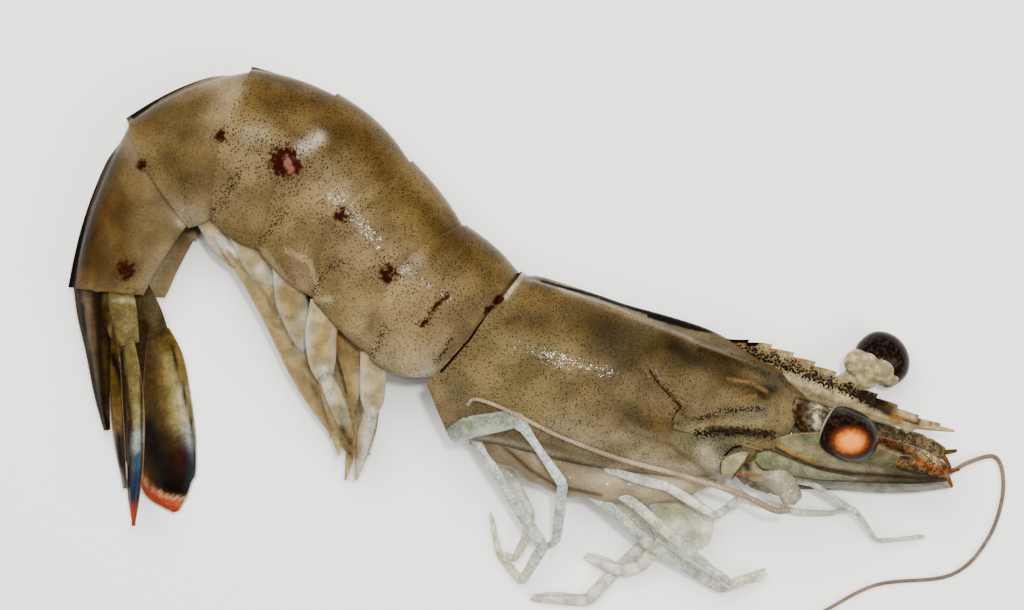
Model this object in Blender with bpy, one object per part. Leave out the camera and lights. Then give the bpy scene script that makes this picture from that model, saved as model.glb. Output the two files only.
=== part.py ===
"""Still, life-size model of a western king prawn, lying on its left side with the abdomen curled under.

The floor is z = 0 and the prawn's right side faces up. The head points along +X and the back of the
head along +Y. Sizes and places are in millimetres and become metres when a mesh is made. A place (x, y)
is read at the height of the body's middle plane by an eye VIEW_HEIGHT above the floor, and place() sets
it at any height under that eye.
"""

import math

import bmesh
import bpy
from mathutils import Vector
from mathutils.bvhtree import BVHTree

METRES = 0.001
VIEW_HEIGHT = 360.0
MID_HEIGHT = 8.0
CENTRE_X = 8.6
CENTRE_Y = -10.4
GAP = 0.3
GROWN = 0.34
PRESSED_FLAT = 0.26
PRAWN = "western_king_prawn"

# Carapace: s runs forward from the back edge of the shield, t down from its straight dorsal line.
SHIELD_BACK = Vector((1.15, 4.05))
SHIELD_AXIS = Vector((0.9426, -0.3338))
SHIELD_UP = Vector((0.3338, 0.9426))
SHIELD_LENGTH = 37.0
SHIELD_HEIGHT = 8.45
SHIELD_DIP = 0.022
SHIELD_ROLL = math.radians(8)
SHIELD_SIDES = 28
# (s, top t, bottom t, half width)
SHIELD_STATIONS = [
    (0.0, 0.0, 21.6, 7.6), (2.0, -0.1, 21.3, 8.0), (6.0, -0.2, 20.8, 8.4), (12.0, -0.3, 20.2, 8.6),
    (18.0, -0.6, 19.4, 8.4), (24.0, -0.6, 18.4, 7.8), (29.0, 0.1, 17.3, 7.1), (33.0, 1.1, 16.0, 6.3),
    (35.6, 2.0, 14.9, 5.6), (37.0, 2.5, 14.2, 5.0),
]
REAR_SWEEP = 6.3
REAR_SWEEP_DEPTH = 15.5
REAR_CORNER_RISE = 0.8
FRONT_SWEEP_FROM = 8.5
FRONT_SWEEP = 0.72

# Rostrum: a thin saw-toothed blade that grows from the shield's ridge. Pairs are (s, t) or (s, thickness).
ROSTRUM_TIP = 55.4
ROSTRUM_CREST = [
    (12.0, 0.5), (22.0, -0.1), (30.0, -0.8), (37.0, -0.5), (43.0, 0.3), (49.0, 0.9), (55.4, 0.5),
]
ROSTRUM_UNDER = [(12.0, 3.0), (30.0, 2.6), (37.0, 3.0), (43.0, 2.9), (48.0, 2.5), (52.5, 1.6), (55.4, 0.8)]
ROSTRUM_THICKNESS = [(12.0, 1.6), (30.0, 2.2), (40.0, 1.9), (50.0, 1.2), (55.4, 0.5)]
TOOTH_FIRST = 22.0
TOOTH_SECOND = 27.8
TOOTH_SPACING = 2.8
TOOTH_COUNT = 10
TOOTH_RISE = 1.25
TOOTH_BASE = 2.6
TOOTH_THICKNESS = 0.9
UNDER_TOOTH = 50.0

# Spines on each side of the shield, as (s, t, length): the hepatic spine and the antennal spine.
SIDE_SPINES = [(24.6, 10.4, 1.4), (33.0, 9.8, 1.7)]
SPINE_WIDTH = 0.9

# Thorax between the legs, and the head between the shield and the eyes: (s, top t, bottom t, half width).
THORAX_STATIONS = [
    (1.0, 17.0, 21.6, 2.0), (4.0, 17.8, 22.4, 2.9), (8.0, 18.4, 23.0, 3.4), (14.0, 19.0, 23.6, 3.6),
    (19.0, 18.0, 22.6, 3.5), (25.0, 16.0, 20.6, 3.1), (30.5, 13.8, 18.4, 2.3),
]
HEAD_STATIONS = [
    (33.5, 3.2, 13.4, 4.4), (37.0, 3.4, 12.6, 4.2), (40.5, 3.8, 11.6, 3.4), (43.5, 4.8, 10.4, 2.4),
]

# Abdomen: where one somite meets the next, as (dorsal x, y), (hinge x, y), (ventral x, y), half width.
JOINTS = [
    ((0.8, 4.3), (-2.9, -0.4), (-9.5, -8.8), 7.5),
    ((-5.6, 9.5), (-14.0, 4.0), (-17.0, -6.4), 7.7),
    ((-12.0, 17.2), (-20.6, 10.8), (-23.8, 0.6), 7.7),
    ((-21.0, 25.3), (-27.2, 17.2), (-30.2, 6.4), 7.3),
    ((-31.3, 28.2), (-34.9, 20.4), (-36.0, 10.2), 6.6),
    ((-46.0, 21.9), (-44.2, 16.8), (-38.9, 9.4), 5.2),
    ((-52.6, 2.1), (-48.6, 1.6), (-44.4, 1.2), 3.9),
]
DORSAL_BULGE = [0.3, 0.3, 0.8, 0.4, 1.0, 1.0]
PLEURON_DROP = [0.9, 0.3, 0.5, 0.6, 0.1, -0.3]
# How far the far side of each joint hangs below the near side, as the tail end rolls.
JOINT_ROLL = [0.0, 0.0, 0.0, 0.0, 0.5, 2.8, 3.8]
SOMITE_SIDES = 24
SOMITE_STATIONS = 7
SOMITE_STEP = 0.25
JOINT_GAP = 0.4

# Limbs: each joint is (x, y, height, radius), from the root outwards.
LEGS = {
    "leg_right_5": [(-7.2, -15.2, 10.0, 1.35), (-5.0, -14.6, 13.2, 1.3), (0.6, -13.6, 15.0, 1.05),
                    (6.1, -21.5, 11.2, 0.75), (5.3, -28.3, 2.6, 0.62), (3.5, -29.5, 1.0, 0.3)],
    "leg_right_4": [(-4.6, -15.7, 9.0, 0.8), (-1.4, -21.0, 8.0, 0.75), (3.7, -29.0, 5.6, 0.8),
                    (1.2, -33.2, 2.4, 0.62), (-1.6, -29.8, 1.3, 0.45), (-2.6, -24.8, 0.6, 0.27)],
    "leg_right_3": [(8.0, -21.4, 8.4, 0.95), (11.0, -23.7, 8.4, 0.9), (16.6, -28.8, 6.0, 0.85),
                    (25.1, -34.0, 2.4, 0.8), (27.8, -33.0, 1.8, 0.75), (30.5, -31.7, 1.3, 0.28)],
    "leg_right_2": [(10.1, -20.8, 11.0, 0.9), (14.9, -24.0, 10.0, 0.8), (20.4, -28.8, 8.0, 0.75),
                    (24.0, -31.8, 6.6, 0.65), (25.2, -32.6, 6.2, 0.6), (26.4, -33.4, 5.8, 0.27)],
    "leg_right_1": [(11.0, -19.6, 12.0, 0.85), (15.4, -21.0, 12.0, 0.8), (18.7, -21.8, 11.0, 0.8),
                    (24.5, -25.4, 8.0, 0.65), (25.7, -24.4, 7.4, 0.6), (27.4, -22.9, 6.8, 0.27)],
    "leg_left_5": [(0.6, -18.2, 3.8, 0.75), (4.2, -20.2, 1.3, 0.65), (9.4, -21.6, 1.0, 0.6),
                   (6.0, -22.6, 0.8, 0.45), (3.6, -21.6, 0.6, 0.27)],
    "leg_left_4": [(-2.6, -17.2, 4.4, 0.75), (0.0, -20.8, 3.4, 0.7), (2.2, -25.2, 2.0, 0.65),
                   (1.6, -28.2, 1.2, 0.55), (0.2, -30.6, 0.9, 0.4), (-0.8, -29.6, 0.7, 0.27)],
    "leg_left_3": [(10.6, -22.0, 4.0, 0.9), (14.4, -25.2, 2.8, 0.85), (16.6, -28.2, 1.6, 0.85),
                   (12.5, -31.8, 1.0, 0.75), (9.1, -35.4, 0.9, 0.75), (2.2, -35.3, 0.6, 0.28)],
    "leg_left_2": [(14.9, -22.2, 4.6, 0.9), (19.2, -24.4, 3.8, 0.95), (18.2, -28.2, 3.4, 0.85),
                   (15.4, -31.4, 2.9, 0.75), (13.2, -31.9, 2.6, 0.75), (8.6, -30.2, 1.8, 0.28)],
    "leg_left_1": [(16.6, -20.6, 5.6, 0.9), (21.4, -24.0, 6.0, 1.1), (23.0, -25.8, 5.8, 1.2),
                   (22.1, -27.7, 5.2, 1.0), (21.4, -28.4, 4.9, 0.7), (19.7, -29.2, 4.6, 0.28)],
}
MAXILLIPEDS = {
    "maxilliped_right": [(24.5, -18.6, 7.4, 0.7), (30.0, -20.2, 7.0, 0.5), (36.0, -21.4, 6.2, 0.38),
                         (41.5, -25.0, 4.2, 0.34), (43.7, -28.3, 2.4, 0.3), (46.6, -28.1, 1.4, 0.27),
                         (49.7, -27.7, 0.6, 0.25)],
    "maxilliped_left": [(23.5, -19.6, 4.0, 0.6), (28.5, -23.4, 2.2, 0.45), (34.6, -24.9, 1.4, 0.4),
                        (38.2, -25.0, 0.9, 0.33), (41.3, -24.3, 0.5, 0.27)],
}
LEG_BEND = 0.7
CLAW_LEGS = (1, 2, 3)
CLAW_OPEN = 0.9

# Near-side swimmerets, as limbs, with the radius half of each one's width. The far ones lie below them.
SWIMMERETS = [
    [(-16.6, -5.6, 11.0, 1.6), (-16.7, -9.6, 10.8, 1.55), (-16.8, -12.6, 9.8, 1.3), (-17.4, -14.8, 8.4, 1.0),
     (-18.1, -18.0, 6.0, 0.75), (-18.7, -21.0, 4.0, 0.5)],
    [(-22.3, 0.4, 12.0, 1.9), (-23.0, -3.6, 11.4, 1.9), (-22.7, -7.8, 10.0, 1.6), (-21.4, -11.4, 8.2, 1.5),
     (-20.3, -15.0, 6.4, 1.2), (-19.4, -18.0, 5.0, 0.5)],
    [(-26.9, 5.2, 11.0, 1.9), (-26.6, 0.6, 9.6, 1.9), (-24.7, -4.2, 7.8, 1.7), (-22.8, -8.4, 6.2, 1.3),
     (-21.4, -12.6, 4.8, 0.9), (-20.4, -16.0, 3.8, 0.4)],
    [(-32.6, 9.2, 10.2, 1.7), (-30.7, 5.2, 9.2, 1.7), (-28.3, 0.8, 7.4, 1.4), (-25.9, -3.6, 5.6, 1.1),
     (-23.8, -7.6, 4.2, 0.7), (-22.1, -10.9, 3.2, 0.35)],
    [(-36.7, 10.6, 8.6, 1.4), (-34.8, 7.2, 7.8, 1.4), (-32.2, 4.6, 6.2, 1.1), (-29.8, 1.6, 5.0, 0.9),
     (-27.4, -1.6, 3.9, 0.6), (-25.9, -4.0, 3.1, 0.35)],
]
SWIMMERET_THICKNESS = 0.5
FAR_HEIGHT = 0.29
FAR_SHIFTS = [-1.3, 1.5, 0.9, 0.6, 0.4]
FAR_WIDTH = 0.75

# Tail fan blades: each station is (x, y, height, width, thickness), and the last value is how far the
# blade is turned up on its edge, in degrees.
TAIL = {
    "telson": ([(-50.9, 2.3, 4.0, 4.6, 2.2), (-50.5, -0.6, 3.9, 4.4, 2.2), (-49.9, -5.4, 3.4, 3.6, 1.9),
                (-49.2, -10.8, 2.8, 2.4, 1.4), (-48.6, -15.0, 2.4, 0.8, 0.6)], 90),
    "uropod_right_base": ([(-47.3, 1.8, 5.9, 4.2, 2.4), (-46.9, -1.6, 6.0, 4.4, 2.5),
                           (-46.1, -4.8, 6.0, 3.6, 2.0)], 30),
    "uropod_right_outer": ([(-46.1, -4.0, 6.4, 3.0, 1.0), (-45.6, -7.8, 6.4, 4.0, 0.9),
                            (-45.2, -12.6, 6.2, 4.4, 0.8),
                            (-45.2, -18.0, 5.8, 4.0, 0.7), (-45.4, -22.8, 5.4, 2.6, 0.6),
                            (-45.4, -26.5, 5.0, 0.5, 0.5)], 55),
    "uropod_right_inner": ([(-47.5, -4.0, 4.8, 2.4, 1.0), (-47.6, -7.8, 4.6, 3.4, 0.9),
                            (-47.4, -12.6, 4.3, 3.6, 0.8),
                            (-47.0, -17.4, 3.9, 2.8, 0.7), (-46.4, -22.0, 3.6, 0.6, 0.5)], 60),
    "uropod_left_base": ([(-45.1, 1.8, 2.2, 3.4, 2.0), (-43.7, -1.2, 1.9, 3.6, 2.0),
                          (-42.8, -3.6, 1.5, 3.4, 1.4)], 0),
    "uropod_left_outer": ([(-42.7, -3.0, 1.2, 3.2, 0.9), (-42.2, -5.4, 0.7, 4.8, 0.8),
                           (-41.6, -11.4, 0.35, 6.2, 0.8), (-41.3, -17.4, 0.3, 6.8, 0.7),
                           (-41.3, -21.6, 0.3, 6.2, 0.7), (-40.8, -23.2, 0.3, 4.0, 0.6),
                           (-40.3, -24.8, 0.3, 0.5, 0.5)], 0),
    "uropod_left_inner": ([(-44.4, -2.0, 2.7, 1.8, 0.9), (-45.6, -6.6, 2.3, 3.2, 0.8),
                           (-46.1, -12.6, 2.0, 3.2, 0.7),
                           (-45.8, -16.8, 1.8, 2.4, 0.6), (-45.6, -19.8, 1.7, 0.6, 0.5)], 0),
}
TAIL_ROOTS = {
    "telson": ["abdomen_6"],
    "uropod_right_base": ["abdomen_6", "telson"], "uropod_left_base": ["abdomen_6", "telson"],
    "uropod_right_outer": ["uropod_right_base"], "uropod_right_inner": ["uropod_right_base", "telson"],
    "uropod_left_outer": ["uropod_left_base"], "uropod_left_inner": ["uropod_left_base", "telson"],
}

# Eyes, as (x, y, height, radius), and what grows from the head, as limbs or as blades.
EYES = {"right": (40.4, -15.6, 13.2, 3.3), "left": (44.6, -6.4, 3.6, 3.2)}
STALKS = {
    "right": [(32.9, -12.4, 10.0, 1.6), (34.9, -13.1, 11.4, 1.9), (38.6, -14.8, 12.8, 1.8)],
    "left": [(35.0, -12.4, 6.2, 1.3), (40.8, -9.2, 4.4, 1.6), (43.4, -7.2, 3.8, 1.9)],
}
ANTENNA_BASES = {
    "right": [(26.9, -18.1, 9.6, 1.9), (28.8, -19.1, 11.4, 2.1), (31.2, -20.3, 11.6, 1.7),
              (32.9, -22.4, 11.8, 1.55),
              (33.4, -23.9, 11.8, 1.2)],
    "left": [(27.6, -18.6, 5.0, 1.9), (29.3, -20.0, 4.0, 2.0), (31.6, -21.2, 3.4, 1.6),
             (33.6, -21.8, 2.8, 1.2)],
}
SCALES = {
    "right": [(30.0, -18.1, 9.6, 2.6, 1.2), (32.8, -18.6, 9.5, 4.2, 1.0), (38.2, -19.0, 9.2, 5.4, 0.9),
              (44.2, -19.7, 8.8, 4.8, 0.8), (49.0, -20.4, 8.5, 2.8, 0.6), (52.3, -21.0, 8.3, 0.6, 0.5)],
    "left": [(30.5, -19.1, 4.6, 2.4, 1.2), (33.4, -19.6, 4.4, 3.8, 1.0), (38.8, -20.2, 3.9, 4.8, 0.9),
             (44.8, -20.9, 3.5, 4.4, 0.8), (49.6, -21.4, 3.2, 2.6, 0.6), (52.9, -21.7, 3.0, 0.6, 0.5)],
}
SCALE_TURN = 35
ANTENNULES = {
    "right": [(36.5, -15.4, 8.8, 1.3), (40.6, -16.6, 9.0, 1.7), (46.0, -18.0, 9.0, 1.7),
              (49.9, -19.1, 8.6, 1.4),
              (52.0, -20.0, 8.2, 0.8)],
    "left": [(36.5, -14.6, 5.0, 1.3), (40.6, -15.0, 4.6, 1.7), (46.0, -16.2, 4.2, 1.6),
             (49.6, -17.0, 3.9, 1.3),
             (51.7, -17.8, 3.7, 0.8)],
}
ANTENNULE_FEELER = 2.4

# Feelers: way points and the length names, each length sharing its end with the next.
FEELER_RIGHT = [
    (33.4, -24.6, 12.0), (31.4, -24.6, 12.4), (27.4, -22.7, 12.6), (20.2, -20.4, 13.1), (13.0, -18.5, 13.8),
    (5.8, -15.8, 15.1), (0.6, -13.2, 16.9), (-2.6, -11.8, 16.7), (-4.6, -11.3, 16.4), (-5.3, -12.0, 16.0),
]
FEELER_LEFT = [
    (33.8, -22.4, 2.4), (41.8, -22.6, 1.4), (50.0, -21.6, 0.9), (55.0, -18.8, 0.6), (58.2, -18.4, 0.5),
    (58.9, -22.6, 0.3), (57.0, -28.2, 0.22), (52.6, -32.4, 0.22), (43.6, -33.6, 0.22), (36.4, -37.2, 0.22),
    (27.0, -40.8, 0.22), (15.4, -42.0, 0.22),
]
FEELER_RADII = (0.42, 0.26)
FEELER_STEPS = 4

SHELL = (0.36, 0.28, 0.17, 1)
PALE = (0.56, 0.47, 0.33, 1)
LEG_COLOUR = (0.55, 0.60, 0.58, 1)
TAIL_COLOUR = (0.16, 0.10, 0.04, 1)
EYE_COLOUR = (0.04, 0.02, 0.015, 1)
FEELER_COLOUR = (0.42, 0.28, 0.22, 1)


def clear_scene():
    for thing in list(bpy.data.objects):
        bpy.data.objects.remove(thing)


def place(x, y, z):
    """The point at height z that the eye above sees at (x, y) of the middle plane."""
    spread = (VIEW_HEIGHT - z) / (VIEW_HEIGHT - MID_HEIGHT)
    return Vector((x * spread - CENTRE_X, y * spread - CENTRE_Y, z))


def along(table, at):
    """Reads a table of (place, value) pairs at a place between them."""
    if at <= table[0][0]:
        return table[0][1]
    for (a, low), (b, high) in zip(table, table[1:]):
        if at <= b:
            return low + (high - low) * (at - a) / (b - a)
    return table[-1][1]


def smooth_path(points, steps):
    """Points of a Catmull-Rom curve through the given vectors, with steps between each two."""
    ends = [points[0] * 2 - points[1], *points, points[-1] * 2 - points[-2]]
    path = []
    for a, b, c, d in zip(ends, ends[1:], ends[2:], ends[3:]):
        for k in range(steps):
            u = k / steps
            path.append(
                0.5 * ((2 * b) + (c - a) * u + (2 * a - 5 * b + 4 * c - d) * u * u
                       + (3 * b - a - 3 * c + d) * u * u * u)
            )
    return path + [points[-1]]


def object_from(name, shape):
    """A mesh object in metres from a bmesh in millimetres, on the floor, with its faces turned out."""
    for vertex in shape.verts:
        vertex.co.z = max(vertex.co.z, 0.0)
        vertex.co *= METRES
    bmesh.ops.recalc_face_normals(shape, faces=shape.faces)
    mesh = bpy.data.meshes.new(name)
    shape.to_mesh(mesh)
    shape.free()
    made = bpy.data.objects.new(name, mesh)
    bpy.context.scene.collection.objects.link(made)
    return made


def loft(name, rings):
    """A closed solid through rings of points, its ends closed with fans. Opposite faces are split alike."""
    shape = bmesh.new()
    count = len(rings[0])
    grid = [[shape.verts.new(point) for point in ring] for ring in rings]
    for low, high in zip(grid, grid[1:]):
        for k in range(count):
            a, b, c, d = low[k], low[(k + 1) % count], high[(k + 1) % count], high[k]
            halves = ((a, b, c), (a, c, d)) if k < count // 2 else ((a, b, d), (b, c, d))
            for half in halves:
                shape.faces.new(half)
    for ring in (grid[0], grid[-1]):
        hub = shape.verts.new(sum((v.co for v in ring), Vector()) / count)
        for k in range(count):
            shape.faces.new((ring[k], ring[(k + 1) % count], hub))
    return object_from(name, shape)


def tube(name, points, radii, sides=8):
    """A closed round tube along points, made as a curve whose radius changes from point to point."""
    data = bpy.data.curves.new(name, "CURVE")
    data.dimensions = "3D"
    data.bevel_depth = METRES
    data.bevel_resolution = sides // 2 - 2
    data.use_fill_caps = True
    spline = data.splines.new("POLY")
    spline.points.add(len(points) - 1)
    for point, spot, radius in zip(spline.points, points, radii):
        point.co = (*(spot * METRES), 1)
        point.radius = radius
    guide = bpy.data.objects.new(name, data)
    bpy.context.scene.collection.objects.link(guide)
    bpy.context.view_layer.update()
    mesh = bpy.data.meshes.new_from_object(guide.evaluated_get(bpy.context.evaluated_depsgraph_get()))
    bpy.data.objects.remove(guide)
    shape = bmesh.new()
    shape.from_mesh(mesh)
    bmesh.ops.remove_doubles(shape, verts=shape.verts, dist=1e-6)
    for vertex in shape.verts:
        vertex.co /= METRES
    return object_from(name, shape)


def blade(name, stations, turn, sides=10):
    """A flat tapering blade through stations (x, y, height, width, thickness), turned up by an angle."""
    points = [place(*station[:3]) for station in stations]
    rings = []
    for k, station in enumerate(stations):
        run = (points[min(k + 1, len(points) - 1)] - points[max(k - 1, 0)]).normalized()
        flat = run.cross(Vector((0, 0, 1))).normalized()
        up = flat.cross(run)
        turned = math.radians(turn)
        wide = flat * math.cos(turned) - up * math.sin(turned)
        thick = run.cross(wide)
        ring = []
        for n in range(sides):
            angle = 2 * math.pi * n / sides
            beside = wide * math.cos(angle) * station[3] / 2
            above = thick * math.sin(angle) * station[4] / 2
            ring.append(points[k] + beside + above)
        rings.append(ring)
    return loft(name, rings)


def split_islands(shape):
    """The connected groups of a mesh's points, the widest first."""
    seen, islands = set(), []
    for start in shape.verts:
        if start in seen:
            continue
        seen.add(start)
        island, edge = [start], [start]
        while edge:
            for link in edge.pop().link_edges:
                for vertex in link.verts:
                    if vertex not in seen:
                        seen.add(vertex)
                        island.append(vertex)
                        edge.append(vertex)
        islands.append(island)
    return sorted(islands, key=size_of_island, reverse=True)


def size_of_island(island):
    lows = [min(v.co[k] for v in island) for k in range(3)]
    highs = [max(v.co[k] for v in island) for k in range(3)]
    return sum(high - low for low, high in zip(lows, highs))


def keep_largest(made):
    """Leaves only the largest closed surface of a mesh."""
    shape = bmesh.new()
    shape.from_mesh(made.data)
    bmesh.ops.triangulate(shape, faces=shape.faces)
    loose = [vertex for island in split_islands(shape)[1:] for vertex in island]
    bmesh.ops.delete(shape, geom=loose, context="VERTS")
    shape.to_mesh(made.data)
    shape.free()


def boolean(made, others, operation):
    """Joins the others to the object, or cuts them from it, and removes them."""
    group = bpy.data.collections.new("pieces")
    for other in others:
        group.objects.link(other)
    change = made.modifiers.new(operation, "BOOLEAN")
    change.operation = operation
    change.operand_type = "COLLECTION"
    change.collection = group
    change.solver = "EXACT"
    bpy.context.view_layer.update()
    mesh = bpy.data.meshes.new_from_object(made.evaluated_get(bpy.context.evaluated_depsgraph_get()))
    made.modifiers.clear()
    made.data = mesh
    for other in others:
        bpy.data.objects.remove(other)
    bpy.data.collections.remove(group)
    keep_largest(made)
    return made


def grown(source):
    """A copy of a solid whose surface stands out by the gap that neighbours keep."""
    shape = bmesh.new()
    shape.from_mesh(source.data)
    shape.normal_update()
    moves = [vertex.normal * GROWN * METRES for vertex in shape.verts]
    for vertex, move in zip(shape.verts, moves):
        vertex.co += move
    mesh = bpy.data.meshes.new("grown")
    shape.to_mesh(mesh)
    shape.free()
    copy = bpy.data.objects.new("grown", mesh)
    bpy.context.scene.collection.objects.link(copy)
    return copy


def surface_of(made):
    shape = bmesh.new()
    shape.from_mesh(made.data)
    tree = BVHTree.FromBMesh(shape)
    shape.free()
    return tree


def seat(child, *parents):
    """Cuts a child that is sunk into its parents back to their surface, leaving the gap between them."""
    cutters = []
    for parent in parents:
        cutter = grown(parent)
        if surface_of(child).overlap(surface_of(cutter)):
            cutters.append(cutter)
        else:
            bpy.data.objects.remove(cutter)
    if cutters:
        boolean(child, cutters, "DIFFERENCE")
    return child


def paint(made, colour, roughness):
    """Gives an object its own plain material and smooth shading."""
    material = bpy.data.materials.new(made.name)
    material.use_nodes = True
    surface = material.node_tree.nodes["Principled BSDF"]
    surface.inputs["Base Color"].default_value = colour
    surface.inputs["Roughness"].default_value = roughness
    surface.inputs["Metallic"].default_value = 0.0
    made.data.materials.clear()
    made.data.materials.append(material)
    made.data.polygons.foreach_set("use_smooth", [True] * len(made.data.polygons))


# Carapace, thorax and head


def sweep_at(share, t):
    """How far the ring at a share of the shield's length is swept along s at depth t."""
    rear = -REAR_SWEEP * min(t, REAR_SWEEP_DEPTH) / REAR_SWEEP_DEPTH
    rear += max(t - REAR_SWEEP_DEPTH, 0) * REAR_CORNER_RISE
    front = -FRONT_SWEEP * max(t - FRONT_SWEEP_FROM, 0)
    return (1 - share) ** 2 * rear + share ** 2 * front


def shield_point(s, t, side):
    """The point at s, t and distance side from the head's middle plane, towards its right."""
    centre_t = 10.0
    up = (centre_t - t) * math.cos(SHIELD_ROLL) - side * math.sin(SHIELD_ROLL) - centre_t
    lift = (centre_t - t) * math.sin(SHIELD_ROLL) + side * math.cos(SHIELD_ROLL)
    z = SHIELD_HEIGHT - SHIELD_DIP * s + lift
    flat = SHIELD_BACK + SHIELD_AXIS * s + SHIELD_UP * up
    return place(flat.x, flat.y, z)


def egg(angle):
    """Half width and height, each from -1 to 1, of a deep egg-shaped section at an angle from its top."""
    return math.copysign(abs(math.sin(angle)) ** 0.85, math.sin(angle)), math.cos(angle)


def body_rings(stations, sides, swept):
    """Rings of the shield, thorax or head from their stations, with slanted ends where swept."""
    rings = []
    for s, top, bottom, half in stations:
        ring = []
        for k in range(sides):
            wide, high = egg(2 * math.pi * k / sides)
            t = (top + bottom) / 2 - high * (bottom - top) / 2
            ring.append(shield_point(s + (sweep_at(s / SHIELD_LENGTH, t) if swept else 0), t, wide * half))
        rings.append(ring)
    return rings


def rostrum_rings():
    rings = []
    first = ROSTRUM_CREST[0][0]
    for k in range(13):
        s = first + (ROSTRUM_TIP - first) * k / 12
        crest, under = along(ROSTRUM_CREST, s), along(ROSTRUM_UNDER, s)
        half = along(ROSTRUM_THICKNESS, s) / 2
        waist = crest + (under - crest) * 0.62
        rings.append([
            shield_point(s, crest, half * 0.35), shield_point(s, waist, half),
            shield_point(s, under, half * 0.4), shield_point(s, under, -half * 0.4),
            shield_point(s, waist, -half), shield_point(s, crest, -half * 0.35),
        ])
    return rings


def tooth(s, root_t, rise, lean):
    """A pointed tooth that leans forward from the rostrum at s, upwards for a positive rise."""
    half = TOOTH_THICKNESS / 2 * (1 - 0.5 * (s - TOOTH_FIRST) / (ROSTRUM_TIP - TOOTH_FIRST))
    sunk = root_t + math.copysign(0.7, rise)
    low = [
        shield_point(s - TOOTH_BASE * 0.75, sunk, half), shield_point(s + TOOTH_BASE * 0.25, sunk, half),
        shield_point(s + TOOTH_BASE * 0.25, sunk, -half), shield_point(s - TOOTH_BASE * 0.75, sunk, -half),
    ]
    tip = shield_point(s + lean, root_t - rise, 0)
    high = [tip + (corner - tip) * 0.09 for corner in low]
    return loft("tooth", [low, high])


def side_at(s, t):
    """How far the shield's surface stands out from the middle plane at s and t."""
    top, bottom, half = (along([(row[0], row[n]) for row in SHIELD_STATIONS], s) for n in (1, 2, 3))
    high = max(min(((top + bottom) / 2 - t) / ((bottom - top) / 2), 1), -1)
    return half * egg(math.acos(high))[0]


def side_spine(s, t, length, side):
    """A spine that points forward along the shield's right side, or its left where side is -1."""
    half = SPINE_WIDTH / 2
    root = [(-0.4, -half, -0.6), (-0.4, half, -0.6), (0.7, half, -0.5), (0.7, -half, -0.5)]
    low = [shield_point(s + ds, t + dt, side * (side_at(s + ds, t + dt) + out)) for ds, dt, out in root]
    tip = shield_point(s + length, t, side * (side_at(s + length, t) + 0.45))
    return loft("spine", [low, [tip + (corner - tip) * 0.09 for corner in low]])


def make_carapace():
    shield = loft("carapace", body_rings(SHIELD_STATIONS, SHIELD_SIDES, True))
    pieces = [loft("rostrum", rostrum_rings())]
    for s, t, length in SIDE_SPINES:
        pieces += [side_spine(s, t, length, 1), side_spine(s, t, length, -1)]
    tips = [TOOTH_FIRST] + [TOOTH_SECOND + TOOTH_SPACING * k for k in range(TOOTH_COUNT)]
    for s in tips:
        rise = TOOTH_RISE * (1 - 0.45 * max(s - 40, 0) / (ROSTRUM_TIP - 40))
        pieces.append(tooth(s, along(ROSTRUM_CREST, s), rise, TOOTH_BASE * 0.35))
    pieces.append(tooth(UNDER_TOOTH, along(ROSTRUM_UNDER, UNDER_TOOTH), -0.8, TOOTH_BASE * 0.3))
    return boolean(shield, pieces, "UNION")


# Abdomen


def joint_spot(index, high):
    """The place on the curved line between two somites, from 1 at the back to -1 at the pleura."""
    dorsal, hinge, ventral = (Vector(spot) for spot in JOINTS[index][:3])
    chord = dorsal - ventral
    share = min(max((hinge - ventral).dot(chord) / chord.length_squared, 0.3), 0.7)
    bow = hinge - (ventral + chord * share)
    at = (high + 1) / 2
    rise = at / share if at < share else (1 - at) / (1 - share)
    return ventral + chord * at + bow * (1 - (1 - rise) ** 2)


def make_somite(number):
    """Somite number 1 to 6: an arch whose sides hang down as pleura, between two joint lines."""
    front, rear = number - 1, number
    run = (joint_spot(rear, 0) - joint_spot(front, 0)).normalized()
    rings = []
    for k in range(SOMITE_STATIONS):
        u = k / (SOMITE_STATIONS - 1)
        arch = math.sin(math.pi * u)
        step = SOMITE_STEP * (u - 0.35)
        half = JOINTS[front][3] + (JOINTS[rear][3] - JOINTS[front][3]) * u + step
        back = joint_spot(front, 1).lerp(joint_spot(rear, 1), u)
        belly = joint_spot(front, -1).lerp(joint_spot(rear, -1), u)
        up = back - belly
        up.normalize()
        trim = run * (JOINT_GAP / 2 if k == 0 else -JOINT_GAP / 2 if k == SOMITE_STATIONS - 1 else 0)
        ring = []
        for n in range(SOMITE_SIDES):
            wide, high = egg(2 * math.pi * n / SOMITE_SIDES)
            spot = joint_spot(front, high).lerp(joint_spot(rear, high), u) + trim
            spot += up * (DORSAL_BULGE[front] * arch * max(high, 0) + step * high)
            spot -= up * PLEURON_DROP[front] * arch * max(-high, 0)
            roll = JOINT_ROLL[front] + (JOINT_ROLL[rear] - JOINT_ROLL[front]) * u
            spot -= up * roll * max(-wide, 0) * (1 - high) / 2
            ring.append(place(spot.x, spot.y, half * (1 + wide) - PRESSED_FLAT))
        rings.append(ring)
    return loft(f"abdomen_{number}", rings)


# Limbs


def bent(joints, bend):
    """Points and radii along straight limb lengths, with each joint between them rounded off by a bend."""
    points, radii = [], []
    for k, (x, y, z, radius) in enumerate(joints):
        spot = place(x, y, z)
        if 0 < k < len(joints) - 1:
            for other in (place(*joints[k - 1][:3]), place(*joints[k + 1][:3])):
                reach = min(bend, (other - spot).length * 0.3)
                points.append(spot + (other - spot).normalized() * reach)
                radii.append(radius)
        else:
            points.append(spot)
            radii.append(radius)
    return points, radii


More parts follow.
